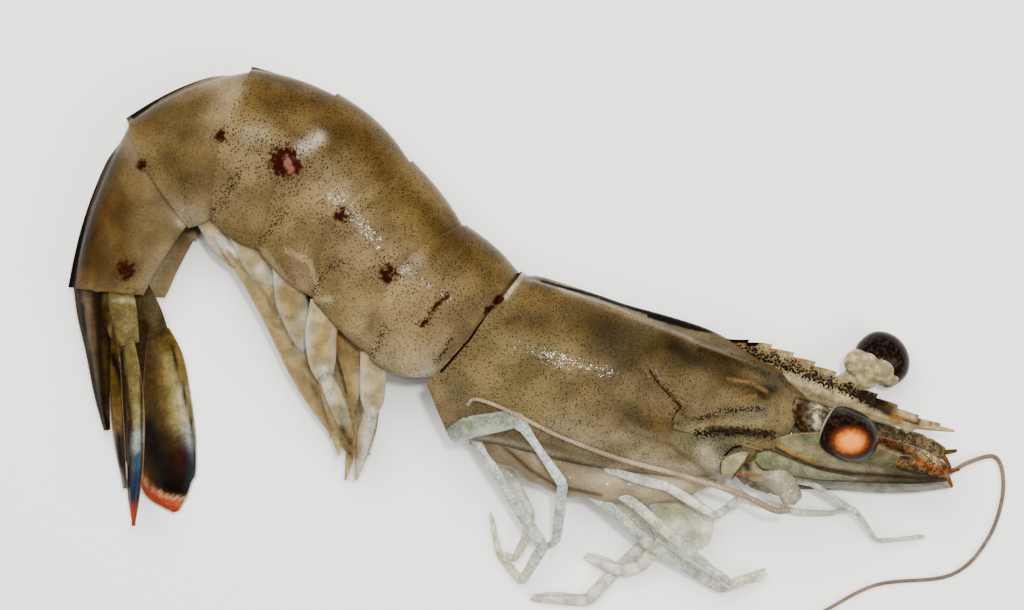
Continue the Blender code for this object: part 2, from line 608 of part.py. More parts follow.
def make_leg(name, joints, clawed):
    points, radii = bent(joints, LEG_BEND)
    leg = tube(name, points, radii)
    if clawed:
        palm, tip = place(*joints[-2][:3]), place(*joints[-1][:3])
        aside = (tip - palm).cross(Vector((0, 0, 1))).normalized() * CLAW_OPEN
        course = [palm, palm.lerp(tip, 0.45) + aside * 0.8, tip + aside * 0.9]
        finger = tube("finger", course, [0.5, 0.4, 0.26], 6)
        boolean(leg, [finger], "UNION")
    return leg


def make_swimmeret(name, joints):
    stations = [
        (x, y, z, radius * 2, max(radius * 2 * SWIMMERET_THICKNESS, 0.5)) for x, y, z, radius in joints
    ]
    return blade(name, stations, 0, 8)


def far(joints, shift):
    """The far-side limb that lies under a near one."""
    return [(x + shift, y, z * FAR_HEIGHT, radius * FAR_WIDTH) for x, y, z, radius in joints]


def make_feeler(side, waypoints, lengths):
    """A long feeler in a few lengths, each starting where the one before it ends."""
    path = smooth_path([place(*spot) for spot in waypoints], FEELER_STEPS)
    made = []
    for n in range(lengths):
        first, last = len(path) * n // lengths, min(len(path) * (n + 1) // lengths, len(path) - 1)
        points = path[first:last + 1]
        if n:
            points[0] = points[0] + (points[1] - points[0]).normalized() * GAP
        radii = [
            FEELER_RADII[0] + (FEELER_RADII[1] - FEELER_RADII[0]) * (first + k) / (len(path) - 1)
            for k in range(len(points))
        ]
        made.append(tube(f"feeler_{side}_{n + 1}", points, radii, 6))
    return made


def make_eye(side):
    x, y, z, radius = EYES[side]
    shape = bmesh.new()
    bmesh.ops.create_uvsphere(shape, u_segments=14, v_segments=9, radius=radius)
    for vertex in shape.verts:
        vertex.co += place(x, y, z)
    return object_from(f"eye_{side}", shape)


def make_antennule(side):
    joints = ANTENNULES[side]
    points, radii = bent(joints, 0.8)
    antennule = tube(f"antennule_{side}", points, radii)
    tip = place(*joints[-1][:3])
    run = (tip - place(*joints[-2][:3])).normalized()
    across = run.cross(Vector((0, 0, 1))).normalized()
    pieces = []
    for lean in (-0.5, 0.35):
        heading = run - across * lean
        pieces.append(tube("flagellum", [tip - run * 1.2, tip + heading * 2, tip + heading * ANTENNULE_FEELER
                                         + Vector((0, 0, -0.4))], [0.5, 0.36, 0.26], 6))
    return boolean(antennule, pieces, "UNION")


def main():
    clear_scene()
    nodes = {}
    nodes["carapace"] = make_carapace()
    nodes["thorax"] = seat(loft("thorax", body_rings(THORAX_STATIONS, 12, False)), nodes["carapace"])
    for side in ("right", "left"):
        nodes[f"eye_{side}"] = make_eye(side)
    head = loft("head", body_rings(HEAD_STATIONS, 14, False))
    nodes["head"] = seat(head, nodes["carapace"], nodes["thorax"], nodes["eye_right"])
    for number in range(1, 7):
        nodes[f"abdomen_{number}"] = make_somite(number)
    seat(nodes["abdomen_1"], nodes["carapace"])
    for name, joints in LEGS.items():
        clawed = int(name[-1]) in CLAW_LEGS
        nodes[name] = seat(make_leg(name, joints, clawed), nodes["carapace"], nodes["thorax"])
    somites = [nodes[f"abdomen_{n}"] for n in range(1, 7)]
    for number, joints in enumerate(SWIMMERETS, 1):
        for side, course in (("right", joints), ("left", far(joints, FAR_SHIFTS[number - 1]))):
            before = [made for name, made in nodes.items() if name.startswith(f"swimmeret_{side}")]
            name = f"swimmeret_{side}_{number}"
            nodes[name] = seat(make_swimmeret(name, course), *somites, *before)
    for name, (stations, turn) in TAIL.items():
        nodes[name] = seat(blade(name, stations, turn), *(nodes[root] for root in TAIL_ROOTS[name]))
    for side in ("right", "left"):
        points, radii = bent(STALKS[side], 0.8)
        stalk = tube(f"eyestalk_{side}", points, radii)
        nodes[stalk.name] = seat(stalk, nodes["head"], nodes["carapace"], nodes[f"eye_{side}"])
        points, radii = bent(ANTENNA_BASES[side], 0.8)
        base = tube(f"antenna_base_{side}", points, radii)
        nodes[base.name] = seat(base, nodes["head"], nodes["carapace"])
        scale = blade(f"antenna_scale_{side}", SCALES[side], SCALE_TURN)
        nodes[scale.name] = seat(scale, nodes["head"], nodes["carapace"], base, nodes["eye_right"])
        antennule = make_antennule(side)
        nodes[antennule.name] = seat(antennule, nodes["head"], nodes[f"eye_{side}"], scale)
        waypoints, lengths = (FEELER_RIGHT, 2) if side == "right" else (FEELER_LEFT, 4)
        for piece in make_feeler(side, waypoints, lengths):
            nodes[piece.name] = seat(piece, base, scale)
        jaw = make_leg(f"maxilliped_{side}", MAXILLIPEDS[f"maxilliped_{side}"], False)
        nodes[jaw.name] = seat(jaw, nodes["carapace"], nodes["thorax"], nodes["head"], base, scale)
    whole = bpy.data.collections.new(PRAWN)
    bpy.context.scene.collection.children.link(whole)
    for name, made in nodes.items():
        bpy.context.scene.collection.objects.unlink(made)
        whole.objects.link(made)
        kind = name.split("_")[0]
        colour = {
            "leg": LEG_COLOUR, "maxilliped": LEG_COLOUR, "swimmeret": PALE, "thorax": PALE,
            "telson": TAIL_COLOUR,
            "uropod": TAIL_COLOUR, "eye": EYE_COLOUR, "feeler": FEELER_COLOUR,
        }.get(kind, SHELL)
        paint(made, colour, 0.25)


if __name__ == "__main__":
    main()
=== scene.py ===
"""Looks of a still, life-size western king prawn that lies on its left side on a pale floor.

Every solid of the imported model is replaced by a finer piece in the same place. Sizes and places are in
millimetres and become metres when a mesh is made. A place (x, y) is read at the height of the body's middle
plane by an eye VIEW_HEIGHT above the floor, which is where the camera stands, and place() sets it at any
height under that eye. Marks are soft strokes of colour or strength, painted through such places.
"""

import math
from functools import partial

import bpy
import numpy as np
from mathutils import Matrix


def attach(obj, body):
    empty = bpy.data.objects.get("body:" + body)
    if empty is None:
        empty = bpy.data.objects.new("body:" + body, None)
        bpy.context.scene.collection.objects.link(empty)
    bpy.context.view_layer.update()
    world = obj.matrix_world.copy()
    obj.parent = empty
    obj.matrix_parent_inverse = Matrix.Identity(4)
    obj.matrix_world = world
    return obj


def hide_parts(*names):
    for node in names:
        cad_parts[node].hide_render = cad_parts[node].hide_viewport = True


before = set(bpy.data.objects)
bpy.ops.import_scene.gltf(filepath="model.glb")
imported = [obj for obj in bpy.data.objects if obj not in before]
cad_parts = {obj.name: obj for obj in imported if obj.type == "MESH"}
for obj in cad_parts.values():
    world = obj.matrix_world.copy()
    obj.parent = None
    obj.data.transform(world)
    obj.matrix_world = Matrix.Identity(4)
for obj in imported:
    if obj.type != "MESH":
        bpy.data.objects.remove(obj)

bl_info = {
    "name": "Western king prawn",
    "version": (1, 0),
    "blender": (4, 5, 0),
    "location": "3D View > Sidebar > Prawn",
    "description": "Dresses the solids of a life-size western king prawn",
    "category": "Object",
}

METRES = 0.001
# The eye above: its height, the height of the middle plane, the place under the eye and the width it sees
VIEW_HEIGHT = 360.0
MID_HEIGHT = 8.0
CENTRE_X = 8.6
CENTRE_Y = -10.4
PICTURE_WIDTH = 122.88

# Shield: s runs forward from its back edge, t down from its straight dorsal line.
SHIELD_BACK = (1.15, 4.05)
SHIELD_AXIS = (0.9426, -0.3338)
SHIELD_UP = (0.3338, 0.9426)
SHIELD_LENGTH = 37.0
SHIELD_HEIGHT = 8.45
SHIELD_DIP = 0.022
SHIELD_ROLL = math.radians(8)
SHIELD_CENTRE = 10.0
# The low keel and the furrow along the shield's crest, as (rise, width)
CREST_KEEL = (0.45, 2.4)
CREST_FURROW = (0.3, 0.5)
# Stations are (s, top t, bottom t, half width).
SHIELD_STATIONS = [
    (0.0, 0.0, 21.6, 7.6), (2.0, -0.1, 21.3, 8.0), (6.0, -0.2, 20.8, 8.4), (12.0, -0.3, 20.2, 8.6),
    (18.0, -0.6, 19.4, 8.4), (24.0, -0.6, 18.4, 7.8), (29.0, 0.1, 17.3, 7.1), (33.0, 1.1, 16.0, 6.3),
    (35.6, 2.0, 14.9, 5.6), (37.0, 2.5, 14.2, 5.0),
]
# The rear edge slants back down to a depth and forward again below it, the front edge back from a depth.
REAR_SWEEP = 6.3
REAR_SWEEP_DEPTH = 15.5
REAR_CORNER_RISE = 0.8
FRONT_SWEEP_FROM = 8.5
FRONT_SWEEP = 0.72
THORAX_STATIONS = [
    (1.0, 17.0, 21.6, 2.0), (4.0, 17.8, 22.4, 2.9), (8.0, 18.4, 23.0, 3.4), (14.0, 19.0, 23.6, 3.6),
    (19.0, 18.0, 22.6, 3.5), (25.0, 16.0, 20.6, 3.1), (30.5, 13.8, 18.4, 2.3),
]
HEAD_STATIONS = [
    (33.5, 3.2, 13.4, 4.4), (37.0, 3.4, 12.6, 4.2), (40.5, 3.8, 11.6, 3.4), (43.5, 4.8, 10.4, 2.4),
]

# Rostrum: pairs are (s, t) or (s, thickness).
ROSTRUM_TIP = 55.4
ROSTRUM_CREST = [
    (12.0, 0.5), (22.0, -0.1), (30.0, -0.8), (37.0, -0.5), (43.0, 0.3), (49.0, 0.9), (55.4, 0.5),
]
ROSTRUM_UNDER = [(12.0, 3.0), (30.0, 2.6), (37.0, 3.0), (43.0, 2.9), (48.0, 2.5), (52.5, 1.6), (55.4, 0.8)]
ROSTRUM_THICKNESS = [(12.0, 1.6), (30.0, 2.2), (40.0, 1.9), (50.0, 1.2), (55.4, 0.5)]
TOOTH_FIRST = 22.0
TOOTH_SECOND = 27.8
TOOTH_SPACING = 2.8
TOOTH_COUNT = 10
TOOTH_HEIGHT = 0.65
TOOTH_BASE = 2.6
TOOTH_FRONT = 0.7
TOOTH_LEAN = 1.2
GULLET_DEPTH = 0.45
UNDER_TOOTH = 50.0
UNDER_TOOTH_HEIGHT = 0.8
UNDER_TOOTH_BASE = 1.1
# Side spines, as (s, t, length), and how far back a spine's root lies in the shell
SIDE_SPINES = [(24.6, 10.4, 1.4), (33.0, 9.8, 1.7)]
SPINE_ROOT = 1.2
SPINE_RADIUS = 0.34

# Ridges and grooves of the shield, as (way points, width, rise), where a way point is (s, depth seen from
# above). They are drawn this much wider, so that their sides are soft.
RELIEF_SOFTNESS = 1.5
SHIELD_RIDGES = {
    "adrostral": ([(2.0, 0.9), (10.1, 0.5), (16.7, 0.9), (23.3, 1.5), (28.3, 1.5), (35.8, 1.1)], 0.9, 0.28),
    "gastro_orbital": ([(24.9, 9.9), (28.1, 8.1), (30.7, 6.4), (32.9, 5.4)], 0.7, 0.2),
    "antennal": ([(25.6, 11.9), (30.5, 9.5), (34.6, 8.5)], 0.9, 0.25),
    "orbital": ([(27.9, 3.7), (30.3, 3.5), (32.9, 3.5)], 0.6, 0.16),
    "hepatic": ([(18.6, 13.4), (23.7, 13.5), (28.8, 14.9)], 0.6, 0.16),
    "branchial": ([(27.4, 13.3), (30.0, 11.6), (32.2, 10.5)], 0.9, 0.22),
}
SHIELD_GROOVES = {
    "adrostral_groove": (
        [(1.0, 0.2), (10.1, -0.1), (16.7, 0.1), (23.3, 0.5), (28.3, 0.5), (33.0, 0.4)], 0.9, -0.3),
    "cervical": ([(17.9, 6.2), (20.6, 8.5), (24.4, 10.3), (24.0, 12.0)], 0.9, -0.38),
    "hepatic_groove": ([(17.6, 14.0), (23.7, 14.2), (28.8, 15.6)], 0.9, -0.18),
    "orbito_antennal": ([(25.0, 11.0), (29.5, 9.2), (33.5, 7.2)], 1.6, -0.2),
}

# Abdomen: where one somite meets the next, as (dorsal x, y), (hinge x, y), (ventral x, y), half width.
JOINTS = [
    ((0.8, 4.3), (-2.9, -0.4), (-9.5, -8.8), 7.5),
    ((-5.6, 9.5), (-14.0, 4.0), (-17.0, -6.4), 7.7),
    ((-12.0, 17.2), (-20.6, 10.8), (-23.8, 0.6), 7.7),
    ((-21.0, 25.3), (-27.2, 17.2), (-30.2, 6.4), 7.3),
    ((-31.3, 28.2), (-34.9, 20.4), (-36.0, 10.2), 6.6),
    ((-46.0, 21.9), (-44.2, 16.8), (-38.9, 9.4), 5.2),
    ((-52.6, 2.1), (-48.6, 1.6), (-44.4, 1.2), 3.9),
]
# Rise of each somite's back, drop of its pleura, roll of each joint to the floor, step from plate to plate,
# how far a plate runs on under the one before, and how far the abdomen sinks where it lies on the floor
DORSAL_BULGE = [0.3, 0.3, 0.8, 0.4, 1.0, 1.0]
PLEURON_DROP = [0.9, 0.3, 0.5, 0.6, 0.1, -0.3]
JOINT_ROLL = [0.0, 0.0, 0.0, 0.0, 0.5, 2.8, 3.8]
SOMITE_STEP = 0.25
TUCK = 0.14
FIRST_TUCK = 0.3
PRESSED_FLAT = 0.26
# A low boss with a pit in it on each hinge, the groove across each pleuron and the side ridge of the last
# somite, as (rise, width) or (rise, place round the section, width)
HINGE_BOSS = (0.1, 1.6)
HINGE_PIT = (-0.12, 0.5)
PLEURON_GROOVE = (-0.1, 0.66, 0.05)
SIDE_RIDGE = (0.2, 0.4, 0.06)

# Limbs: each joint is (x, y, height, radius), from the root outwards.
LEGS = {
    "leg_right_5": [
        (-7.2, -15.2, 10.0, 1.35), (-5.0, -14.6, 13.2, 1.3), (0.4, -13.6, 15.0, 1.0),
        (1.5, -14.8, 14.5, 0.68), (6.1, -21.5, 11.2, 0.62), (5.3, -28.3, 2.6, 0.5),
        (3.5, -29.5, 1.0, 0.26)],
    "leg_right_4": [
        (-4.6, -15.7, 9.0, 0.6), (-1.4, -21.0, 8.0, 0.62), (3.7, -29.0, 5.6, 0.7), (1.2, -33.2, 2.4, 0.52),
        (-1.6, -29.8, 1.3, 0.4), (-2.6, -24.8, 0.6, 0.24)],
    "leg_right_3": [
        (8.0, -21.4, 8.4, 0.66), (11.0, -23.7, 8.4, 0.7), (16.6, -28.8, 6.0, 0.7), (25.1, -34.0, 2.4, 0.66),
        (27.8, -33.0, 1.8, 0.62), (30.5, -31.7, 1.3, 0.26)],
    "leg_right_2": [
        (10.1, -20.8, 8.2, 0.4), (14.9, -24.0, 9.6, 0.6), (20.4, -28.8, 8.0, 0.6), (24.0, -31.8, 6.6, 0.52),
        (25.2, -32.6, 6.2, 0.5), (26.4, -33.4, 5.8, 0.24)],
    "leg_right_1": [
        (11.0, -19.6, 9.2, 0.4), (15.4, -21.0, 11.4, 0.56), (18.7, -21.8, 11.0, 0.58),
        (24.5, -25.4, 8.0, 0.5), (25.7, -24.4, 7.4, 0.46), (27.4, -22.9, 6.8, 0.24)],
    "leg_left_5": [
        (0.6, -18.2, 3.8, 0.75), (4.2, -20.2, 1.3, 0.65), (9.4, -21.6, 1.0, 0.6), (6.0, -22.6, 0.8, 0.45),
        (3.6, -21.6, 0.6, 0.27)],
    "leg_left_4": [
        (-2.6, -17.2, 4.4, 0.75), (0.0, -20.8, 3.4, 0.7), (2.2, -25.2, 2.0, 0.65), (1.6, -28.2, 1.2, 0.55),
        (0.2, -30.6, 0.9, 0.4), (-0.8, -29.6, 0.7, 0.27)],
    "leg_left_3": [
        (10.6, -22.0, 4.0, 0.9), (14.4, -25.2, 2.8, 0.85), (16.6, -28.2, 1.6, 0.85),
        (12.5, -31.8, 1.0, 0.75), (9.1, -35.4, 0.9, 0.75), (2.2, -35.3, 0.6, 0.28)],
    "leg_left_2": [
        (14.9, -22.2, 4.6, 0.9), (19.2, -24.4, 3.8, 0.95), (18.2, -28.2, 3.4, 0.85),
        (15.4, -31.4, 2.9, 0.75), (13.2, -31.9, 2.6, 0.75), (8.6, -30.2, 1.8, 0.28)],
    "leg_left_1": [
        (16.6, -20.6, 4.6, 0.6), (21.4, -24.0, 5.0, 0.6), (22.6, -25.8, 4.8, 0.6), (22.1, -27.7, 4.6, 0.55),
        (21.4, -28.4, 4.4, 0.45), (19.7, -29.2, 4.2, 0.24)],
}
# The mouth legs
MAXILLIPEDS = {
    "maxilliped_right": [
        (24.5, -18.6, 7.4, 0.7), (30.0, -20.2, 7.0, 0.5), (36.0, -21.4, 6.2, 0.38),
        (41.5, -25.0, 4.2, 0.34), (43.7, -28.3, 2.4, 0.3), (46.6, -28.1, 1.4, 0.27),
        (49.7, -27.7, 0.6, 0.25)],
    "maxilliped_left": [
        (23.5, -19.6, 4.0, 0.6), (28.5, -23.4, 2.2, 0.45), (34.6, -24.9, 1.4, 0.4),
        (38.2, -25.0, 0.9, 0.33), (41.3, -24.3, 0.5, 0.27)],
}
# Lengths of the soft skin at a limb's joint and of the hard rim before it
JOINT_SKIN = 0.42
JOINT_RIM = 0.3
CLAW_LEGS = (1, 2, 3)
CLAW_OPEN = 0.7
FINGER_RADIUS = 0.34
SWIMMERETS = [
    [
        (-16.6, -5.6, 11.0, 1.6), (-16.7, -9.6, 10.8, 1.55), (-16.8, -12.6, 9.8, 1.3),
        (-17.4, -14.8, 8.4, 1.0), (-18.1, -18.0, 6.0, 0.75), (-18.7, -21.0, 4.0, 0.5)],
    [
        (-22.3, 0.4, 12.0, 1.9), (-23.0, -3.6, 11.4, 1.9), (-22.7, -7.8, 10.0, 1.6),
        (-21.4, -11.4, 8.2, 1.5), (-20.3, -15.0, 6.4, 1.2), (-19.4, -18.0, 5.0, 0.5)],
    [
        (-26.9, 5.2, 11.0, 1.9), (-26.6, 0.6, 9.6, 1.9), (-24.7, -4.2, 7.8, 1.7), (-22.8, -8.4, 6.2, 1.3),
        (-21.4, -12.6, 4.8, 0.9), (-20.4, -16.0, 3.8, 0.4)],
    [
        (-32.6, 9.2, 10.2, 1.7), (-30.7, 5.2, 9.2, 1.7), (-28.3, 0.8, 7.4, 1.4), (-25.9, -3.6, 5.6, 1.1),
        (-23.8, -7.6, 4.2, 0.7), (-22.1, -10.9, 3.2, 0.35)],
    [
        (-36.7, 10.6, 8.6, 1.4), (-34.8, 7.2, 7.8, 1.4), (-32.2, 4.6, 6.2, 1.1), (-29.8, 1.6, 5.0, 0.9),
        (-27.4, -1.6, 3.9, 0.6), (-25.9, -4.0, 3.1, 0.35)],
]
# The far swimmerets are the near ones set lower, shifted along x and made slimmer.
FAR_HEIGHT = 0.29
FAR_SHIFTS = [-1.3, 1.5, 0.9, 0.6, 0.4]
FAR_WIDTH = 0.75
# Arms of a swimmeret, as (shift along x a joint, lift, share of its width): the first pair has one arm.
ONE_ARM = [(0.0, 0.0, 1.0)]
TWO_ARMS = [(0.25, 0.4, 0.72), (-0.45, -0.5, 0.62)]
ARM_WIDTHS = (0.7, 1.15, 1.0, 0.3)

# Tail fan blades, as (turn up on the edge in degrees, stations of (x, y, height, width, thickness))
TAIL = {
    "telson": (90, [
        (-50.5, 2.3, 4.0, 4.6, 3.2), (-50.2, -0.6, 3.9, 4.4, 3.1), (-49.6, -5.4, 3.4, 3.6, 2.4),
        (-49.2, -10.8, 2.8, 2.4, 1.4), (-48.6, -15.0, 2.4, 0.8, 0.6)]),
    "uropod_right_base": (30, [
        (-47.4, 1.8, 5.9, 4.8, 2.4), (-47.0, -1.6, 6.0, 5.2, 2.5), (-46.1, -4.8, 6.0, 3.6, 2.0)]),
    "uropod_right_outer": (55, [
        (-46.1, -4.0, 6.4, 3.0, 1.0), (-45.6, -7.8, 6.4, 4.0, 0.9), (-45.2, -12.6, 6.2, 4.4, 0.8),
        (-45.2, -18.0, 5.8, 4.0, 0.7), (-45.4, -22.8, 5.4, 2.8, 0.6), (-45.4, -26.5, 5.0, 0.2, 0.4)]),
    "uropod_right_inner": (60, [
        (-47.5, -4.0, 4.8, 2.4, 1.0), (-47.6, -7.8, 4.6, 3.4, 0.9), (-47.4, -12.6, 4.3, 3.6, 0.8),
        (-47.0, -17.4, 3.9, 2.8, 0.7), (-46.4, -22.0, 3.6, 0.6, 0.5)]),
    "uropod_left_base": (0, [
        (-45.1, 1.8, 2.2, 3.4, 2.0), (-43.7, -1.2, 1.9, 3.6, 2.0), (-42.8, -3.6, 1.5, 3.4, 1.4)]),
    "uropod_left_outer": (0, [
        (-42.7, -3.0, 1.2, 3.2, 0.9), (-42.2, -5.4, 0.7, 4.8, 0.8), (-41.6, -11.4, 0.35, 6.2, 0.8),
        (-41.3, -17.4, 0.3, 6.8, 0.7), (-41.3, -21.6, 0.3, 6.2, 0.7), (-40.8, -23.2, 0.3, 4.0, 0.6),
        (-40.3, -24.8, 0.3, 0.5, 0.5)]),
    "uropod_left_inner": (0, [
        (-44.4, -2.0, 2.7, 1.8, 0.9), (-45.6, -6.6, 2.3, 3.2, 0.8), (-46.1, -12.6, 2.0, 3.2, 0.7),
        (-45.8, -16.8, 1.8, 2.4, 0.6), (-45.6, -19.8, 1.7, 0.6, 0.5)]),
}

# Eyes, as (x, y, height, radius), and what grows from the head, as limbs or as blades.
EYES = {"right": (40.4, -15.6, 13.2, 3.3), "left": (44.6, -6.4, 3.6, 3.2)}
STALKS = {
    "right": [(32.9, -12.4, 10.0, 1.6), (34.9, -13.1, 11.4, 1.9), (38.6, -14.8, 12.8, 1.8)],
    "left": [(35.0, -12.4, 6.2, 1.3), (40.8, -9.2, 4.4, 1.6), (43.4, -7.2, 3.8, 1.9)],
}
ANTENNA_BASES = {
    "right": [
        (26.6, -18.2, 9.6, 1.6), (28.8, -18.9, 11.4, 1.85), (31.2, -20.1, 11.6, 1.65),
        (33.2, -22.2, 11.8, 1.35), (33.9, -24.0, 11.8, 1.1)],
    "left": [
        (27.6, -18.6, 5.0, 1.9), (29.3, -20.0, 4.0, 2.0), (31.6, -21.2, 3.4, 1.6),
        (33.6, -21.8, 2.8, 1.2)],
}
SCALES = {
    "right": [
        (30.0, -17.6, 12.0, 2.8, 1.0), (32.8, -17.9, 12.4, 5.6, 0.9), (38.2, -18.4, 11.6, 7.0, 0.8),
        (44.2, -19.5, 9.4, 5.0, 0.8), (49.0, -20.4, 8.5, 2.8, 0.6), (52.3, -21.0, 8.3, 0.6, 0.5)],
    "left": [
        (30.5, -19.1, 4.6, 2.4, 1.2), (33.4, -19.6, 4.4, 3.8, 1.0), (38.8, -20.2, 3.9, 4.8, 0.9),
        (44.8, -20.9, 3.5, 4.4, 0.8), (49.6, -21.4, 3.2, 2.6, 0.6), (52.9, -21.7, 3.0, 0.6, 0.5)],
}
SCALE_TURN = 35
EYE_LOBES = [
    (41.4, -6.9, 5.4, 1.6), (42.9, -7.0, 5.8, 1.4), (44.3, -7.8, 5.9, 1.6), (42.5, -8.5, 5.0, 1.6),
    (45.3, -8.5, 5.0, 1.2),
]
LOBE_BLEND = 5.0
# An eye's length along its axis and its width beside it, as shares of its radius
EYE_SHAPE = {"right": (1.08, 0.9), "left": (0.9, 1.06)}
# Where light comes back out of each eye. In the left one that is far below it, so no glow shows.
EYE_GLOW = {"right": (40.6, -16.4, 16.0), "left": (0.0, 0.0, -100.0)}
GLOW_STRENGTH = 0.45
ANTENNULES = {
    "right": [
        (36.5, -15.4, 8.8, 1.3), (40.6, -16.6, 9.0, 1.7), (46.0, -18.0, 9.0, 1.7), (49.9, -19.1, 8.6, 1.4),
        (52.0, -20.0, 8.2, 0.8)],
    "left": [
        (36.5, -14.6, 5.0, 1.3), (40.6, -15.0, 4.6, 1.7), (46.0, -16.2, 4.2, 1.6), (49.6, -17.0, 3.9, 1.3),
        (51.7, -17.8, 3.7, 0.8)],
}
FLAGELLUM = 1.5
FLAGELLUM_LEANS = (-0.5, 0.35)
FLAGELLUM_ROOT = 1.2
FEELER_RIGHT = [
    (33.4, -24.6, 12.0), (31.4, -24.6, 12.4), (27.4, -22.7, 12.6), (20.2, -20.4, 13.1), (13.0, -18.5, 13.8),
    (5.8, -15.8, 15.1), (0.6, -13.2, 16.9), (-2.6, -11.8, 16.7), (-4.6, -11.3, 16.4), (-5.3, -12.0, 16.0),
]
FEELER_LEFT = [
    (33.8, -21.8, 2.4), (41.8, -21.9, 1.4), (50.0, -21.2, 0.9), (55.0, -18.8, 0.6), (58.2, -18.4, 0.5),
    (58.9, -22.6, 0.3), (57.0, -28.2, 0.22), (52.6, -32.4, 0.22), (43.6, -33.6, 0.22), (36.4, -37.2, 0.22),
    (27.0, -40.8, 0.22), (15.4, -42.0, 0.22),
]
# Each feeler's course, the number of solids it replaces, and its radius at its root and its tip
FEELERS = {"right": (FEELER_RIGHT, 2, 0.38, 0.2), "left": (FEELER_LEFT, 4, 0.3, 0.2)}
DARK_RING = 0.5

BRISTLE_SIDES = 4
# Side of the patch that each bristle's skin takes on its map, as a share of the map
PATCH = 0.003
# The share of the map that roots lie on, which leaves room for the patches of the last ones
MAP_SHARE = 0.98
# Height above the floor that the tip of a bristle keeps at least
TIP_CLEARANCE = 0.08
# Fringes, as (distance between bristles, reach, lean to the tip in radians)
SWIMMERET_FRINGE = (0.22, 0.8, 0.9)
FAN_FRINGE = (0.14, 0.6, 1.0)
SCALE_FRINGE = (0.14, 1.0, 0.8)

GROUNDS = {
    "rostrum": "#857653", "chest": "#82755a", "head": "#5f5a3e", "eyeball": "#0d0705",
    "stalk_right": "#3c2c18", "stalk_left": "#7d7450", "eye_lobes": "#968863",
    "antenna_root": "#6f6850", "scale_right": "#565138", "scale_left": "#7d7a6c",
    "antennule_right": "#5a4424", "antennule_left": "#57492f", "short_feeler": "#4f2e12",
    "fan_bristles": "#5e4a30",
}
SWIMMERET_EDGE = "#4a3820"
PLATE_EDGE = "#2a1806"

# Lamps, as (place in metres, width, power). The glint shows in the water film, the key doesn't.
LAMPS = {
    "key": ((-0.12, 0.2, 0.45), 0.45, 5.0),
    "fill": ((0.3, -0.12, 0.38), 0.4, 2.2),
    "glint": ((0.03, 0.06, 0.5), 0.03, 1.8),
}
ROOM_STRENGTH = 0.3
FLOOR_REACH = 3.0


def hex_colour(text):
    """An sRGB hex value as linear red, green and blue with full opacity."""
    parts = [int(text[k:k + 2], 16) / 255 for k in (1, 3, 5)]
    return (*(c / 12.92 if c <= 0.04045 else ((c + 0.055) / 1.055) ** 2.4 for c in parts), 1.0)


def ground_of(name):
    """The ground colour of a piece that has no setting of its own."""
    return hex_colour(GROUNDS[name])


def colour_prop(name, description, text):
    """A colour setting with an sRGB hex value as its default."""
    return bpy.props.FloatVectorProperty(
        name=name, description=description, subtype="COLOR", size=4, min=0, max=1, default=hex_colour(text)
    )


def length_prop(name, description, value, least):
    """A setting for a length in millimetres."""
    return bpy.props.FloatProperty(
        name=name, description=f"{description}, in millimetres", default=value, min=least
    )


class PrawnShell(bpy.types.PropertyGroup):
    """Colours and marks of the shell plates."""

    shield: colour_prop("Shield", "Olive tan of the carapace", "#584b2e")
    somite: colour_prop("Somites", "Warm tan of the abdomen", "#5c4c2d")
    dot: colour_prop("Dots", "Pigment dots", "#120b04")
    stain: colour_prop("Blotches", "Dark red blotches at the hinges", "#230803")
    line: colour_prop("Lines", "Near-black lines along keels and edges", "#0c0503")
    dot_spacing: length_prop("Dot spacing", "Distance between pigment dots", 0.42, 0.2)
    wall: length_prop("Wall", "Thickness of the shell at a free edge", 0.35, 0.1)


class PrawnLimbs(bpy.types.PropertyGroup):
    """Colours and sizes of legs, swimmerets, feelers and bristles."""

    leg: colour_prop("Near legs", "Bluish white of the upper legs", "#a3a797")
    far_leg: colour_prop("Far legs", "Clear tan of the lower legs", "#ccc6b2")
    swimmeret: colour_prop("Swimmerets", "Pale tan of the swimmerets", "#93825a")
    feeler: colour_prop("Near feeler", "Pinkish tan of the upper feeler", "#917d66")
    far_feeler: colour_prop("Far feeler", "Greyish brown of the lower feeler", "#6b5a4a")
    bristle: colour_prop("Bristles", "Pale tan of the fine bristles", "#8f7a52")
    bristle_width: length_prop("Bristle width", "Width of a bristle at its root", 0.06, 0.02)
    ring_length: length_prop("Feeler ring", "Length of one ring of a feeler", 0.36, 0.1)


class PrawnStage(bpy.types.PropertyGroup):
    """Floor and light."""

    floor: colour_prop("Floor", "Pale floor", "#f0efea")
    light: bpy.props.FloatProperty(
        name="Light", description="Strength of the soft light", default=1.0, min=0
    )


# Shapes


def place(x, y, z):
    """The points at height z that the eye above sees at (x, y) of the middle plane."""
    x, y, z = np.broadcast_arrays(x, y, z)
    spread = (VIEW_HEIGHT - z) / (VIEW_HEIGHT - MID_HEIGHT)
    return np.stack([x * spread - CENTRE_X, y * spread - CENTRE_Y, z], axis=-1)


def seen_at(points):
    """Where on the middle plane the eye above sees points: the reverse of place()."""
    spread = (VIEW_HEIGHT - points[..., 2]) / (VIEW_HEIGHT - MID_HEIGHT)
    return (points[..., 0] + CENTRE_X) / spread, (points[..., 1] + CENTRE_Y) / spread


